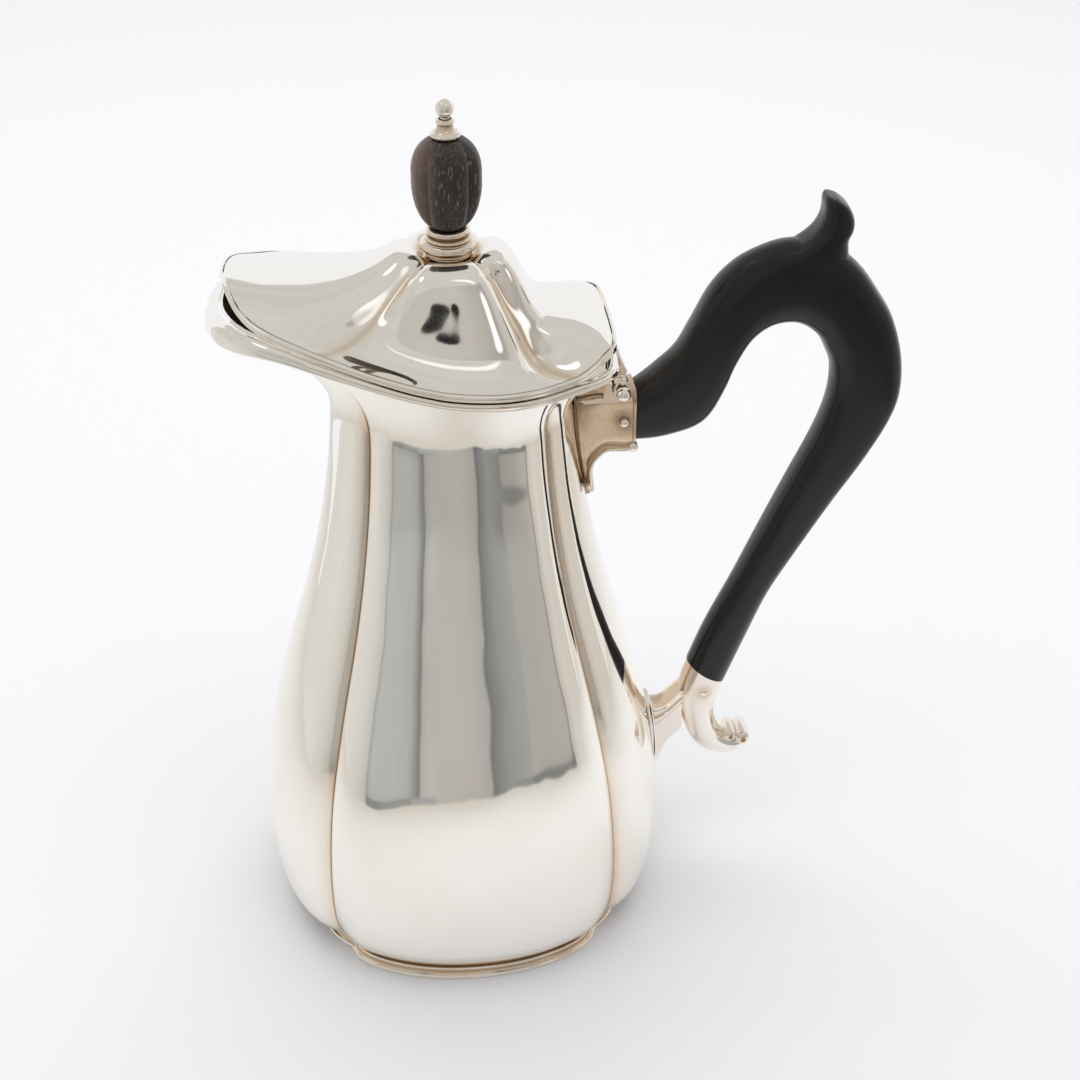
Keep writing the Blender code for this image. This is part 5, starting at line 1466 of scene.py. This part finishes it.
def socket_rings():
    """Sections of the box, which opens into the plate's outline on its way to the body."""
    rings, tarnish = [], []
    for way in SOCKET_WAYS:
        low, ring, marks = arch_z(way), [], []
        flare = math.exp(-(way / 0.13) ** 1.3)
        for k in range(SOCKET_SIDES):
            c, s = rounded(2 * math.pi * k / SOCKET_SIDES, 7.0)
            z = low + (SOCKET_RAIL - low) * (s + 1) / 2
            waist = 1 - 0.05 * math.sin(math.pi * (s + 1) / 2)
            turn = math.radians(plate_half_turn(z, *UPPER_PLATE) * 0.88) * c
            at_plate = body_radius(min(z, NECK_HEIGHT)) * math.sin(turn)
            x = socket_point(way, z) - flare * abs(at_plate * math.tan(turn / 2))
            y = smooth(SOCKET_WIDTHS, way) * c * waist * (1 - flare) + at_plate * flare
            ring.append((x, y, z))
            near_pin = math.hypot(x - PIN_X, z - PIN_Z)
            marks.append(0.45 * math.exp(-(near_pin / 0.0026) ** 2) + 0.18 * flare + 0.15 * max(0.0, s) ** 4)
        rings.append(ring)
        tarnish.append(marks)
    return rings, tarnish


finish(settled(capped("formed_socket", *socket_rings())), SOCKET_SILVER, "jug", "upper_socket")

# %% Solder the wire along the arch, and pin the handle


def stub(name, middle, half_length, radius, tarnish=0.1, end_spot_shade=0.1):
    """A short roll across the jug with rounded ends, and a spot of painted shade in the middle of each end."""
    ends = min(half_length, radius * 0.8)
    profile = [(TIP, -half_length)]
    profile += [(radius * s, -half_length + ends * (1 - c)) for c, s in map(unit, range(15, 91, 15))]
    profile += [(r, -h) for r, h in profile[::-1]]
    marks = [tarnish] * len(profile)
    marks[0] = marks[1] = marks[-1] = marks[-2] = end_spot_shade
    return spun(name, profile, marks, 32, middle)


WIRE_HALF_WIDTH = 0.0072
WIRE_THICKNESS = 0.0021
WIRE_LOWERED = 0.0002
UPPER_PIN_HALF = 0.0074
WIRE_WAYS = (0.045, 0.055, 0.065, 0.08, 0.11, 0.15, 0.20, 0.26, 0.33, 0.41, 0.50, 0.60, 0.70, 0.80, 0.90,
             0.97)
arch = [Vector((socket_point(w, arch_z(w)), arch_z(w))) for w in WIRE_WAYS]
lowered = []
for k, place in enumerate(arch):
    along = heading(arch, k)
    lowered.append(place + Vector((along.y, -along.x)) * WIRE_LOWERED)
wire = banded("arch_wire", lowered, [WIRE_HALF_WIDTH] * len(lowered), WIRE_THICKNESS, 2.4, 0.2)
curl = stub("curl", (lowered[-1].x - 0.0004, lowered[-1].y - 0.0004), WIRE_HALF_WIDTH, 0.0014)
drop = stub("drop", (lowered[0].x, lowered[0].y - 0.0008), 0.0030, 0.0012)
finish(joined(wire, [curl, drop]), SMALL_SILVER, "jug", "socket_strap")
upper_pin = stub("upper_pin", (PIN_X, PIN_Z), UPPER_PIN_HALF, SMALL_PIN_RADIUS, 0.0)
finish(upper_pin, SMALL_SILVER, "jug", "upper_socket_pin")

# %% [markdown]
# ## The lower socket
#
# The handle's lower end sits in a horn that swings out and turns up into a rolled end of two small
# scrolls. A dished corbel with two fine mouldings carries it on its plate. The horn is a row of ovals
# set along a bent line, which keeps its swell under control better than a bent tube would.

# %% Draw out the horn
HORN_DROP = 0.027
HORN_HALF_DEPTH = 0.0063
HORN_HALF_WIDTH = 0.0056
HORN_TILT = math.radians(31)
# (across, down, half depth, half width) as shares, from the mouth to the upturned end
HORN = ((0, 0, 1, 1), (-0.070, 0.27, 0.94, 0.98), (-0.075, 0.45, 0.83, 0.94), (-0.048, 0.62, 0.74, 0.90),
        (0, 0.77, 0.70, 0.86), (0.085, 0.895, 0.67, 0.80), (0.20, 0.965, 0.60, 0.74),
        (0.31, 0.985, 0.48, 0.68), (0.385, 0.965, 0.34, 0.62), (0.42, 0.93, 0.20, 0.50))
HORN_SIDES = 48
# (across, down, radius, half length) of the two rolls
SCROLLS = ((0.415, 0.865, 0.00215, 0.0050), (0.285, 0.835, 0.0018, 0.0044))
horn_out = Vector((math.sin(HORN_TILT), math.cos(HORN_TILT)))
horn_across = Vector((horn_out.y, -horn_out.x))
lower_pin_place = LOWER_MOUTH - horn_out * 0.0048 + horn_across * 0.0016


def horn_place(across, down):
    """A place in x and z on the horn's own scale."""
    return LOWER_MOUTH + Vector((across, -down)) * HORN_DROP


def horn_rings():
    """Ovals along the horn's line, with tarnish round the pin and along the horn's far edge."""
    line = through([horn_place(a, d) for a, d, _, _ in HORN], 5)
    sizes = through([Vector((d, w)) for _, _, d, w in HORN], 5)
    rings, tarnish = [], []
    for k, (place, size) in enumerate(zip(line, sizes)):
        along = -horn_out if k < 2 else heading(line, k)
        side = Vector((-along.y, along.x)) * HORN_HALF_DEPTH * size.x
        ring, marks = [], []
        for n in range(HORN_SIDES):
            a = 2 * math.pi * n / HORN_SIDES
            spot = place + side * math.cos(a)
            ring.append((spot.x, HORN_HALF_WIDTH * size.y * math.sin(a), spot.y))
            near_pin = (spot - lower_pin_place).length
            marks.append(0.50 * math.exp(-(near_pin / 0.0030) ** 2) * abs(math.sin(a))
                         + 0.45 * max(0.0, -math.cos(a) if side.x > 0 else math.cos(a)) ** 2.5)
        rings.append(ring)
        tarnish.append(marks)
    return rings, tarnish


finish(settled(capped("drawn_horn", *horn_rings())), SMALL_SILVER, "jug", "lower_socket")
# The middle of each scroll's end is painted dark (0.85): a painted dark reflection on the rounded ends.
scrolls = [stub("scroll_%d" % k, tuple(horn_place(a, d)), half, radius, 0.20, 0.85)
           for k, (a, d, radius, half) in enumerate(SCROLLS)]
finish(joined(scrolls[0], scrolls[1:]), SMALL_SILVER, "jug", "scroll_knob")
lower_pin = stub("lower_pin", tuple(lower_pin_place), HORN_HALF_WIDTH + 0.0005, SMALL_PIN_RADIUS, 0.0)
finish(lower_pin, SMALL_SILVER, "jug", "lower_socket_pin")

# %% Carve the corbel
CORBEL_HALF_WIDTH = 0.0034
# (share of the way out from the plate, height) along the lower and the upper side
CORBEL_LOW = ((0.0, 0.0336), (0.18, 0.0372), (0.48, 0.0412), (1.0, 0.0451))
CORBEL_TOP = ((0.0, 0.0532), (0.30, 0.0530), (0.62, 0.0542), (1.0, 0.0588))
# (share of the half width, share of the height) up the near side of a section
CORBEL_SIDE = ((0.30, 0.0), (0.80, 0.02), (0.86, 0.10), (0.80, 0.45), (0.80, 0.66), (0.88, 0.70),
               (0.98, 0.74), (0.98, 0.80), (0.88, 0.83), (0.86, 0.86), (1.02, 0.89), (1.14, 0.93),
               (1.14, 0.97), (1.04, 1.0), (0.70, 0.985))


def corbel():
    """The dished corbel between the lower plate and the horn, with a cornice of two bands."""
    end = horn_place(-0.06, 0).x - HORN_HALF_DEPTH * 0.80
    outline = CORBEL_SIDE + tuple((-w, h) for w, h in CORBEL_SIDE[::-1])
    rings, tarnish = [], []
    for low, high in zip(through(CORBEL_LOW, 8), through(CORBEL_TOP, 8)):
        ring, marks = [], []
        for wide, up_share in outline:
            z = low.y + (high.y - low.y) * up_share
            start = body_radius(z) + SOLDER_GAP * 2 + PLATE_THICKNESS
            ring.append((start + (end - start) * low.x, wide * CORBEL_HALF_WIDTH, z))
            marks.append(0.45 if up_share in (0.70, 0.83, 0.86) or abs(wide) < 0.75 else 0.12)
        rings.append(ring)
        tarnish.append(marks)
    return settled(capped("dished_corbel", rings, tarnish), 30)


finish(corbel(), SMALL_SILVER, "jug", "lower_bracket")

# %% [markdown]
# ## Finishes for the measured pieces that stay
#
# Some measured pieces already have the right shape, and some are out of sight. They keep their
# meshes and get a finish of their own, so that nothing is left in a plain colour.

# %% Dress the measured pieces
KEPT = {"finial_rod": HIDDEN_SILVER, "finial_washer": HIDDEN_SILVER, "finial_nut": HIDDEN_SILVER,
        "hinge_stand": OLD_SILVER}
for name, material in KEPT.items():
    for slot in frame["nodes"][name].material_slots:
        slot.material = material
print("dressed:", len(KEPT), "measured pieces")
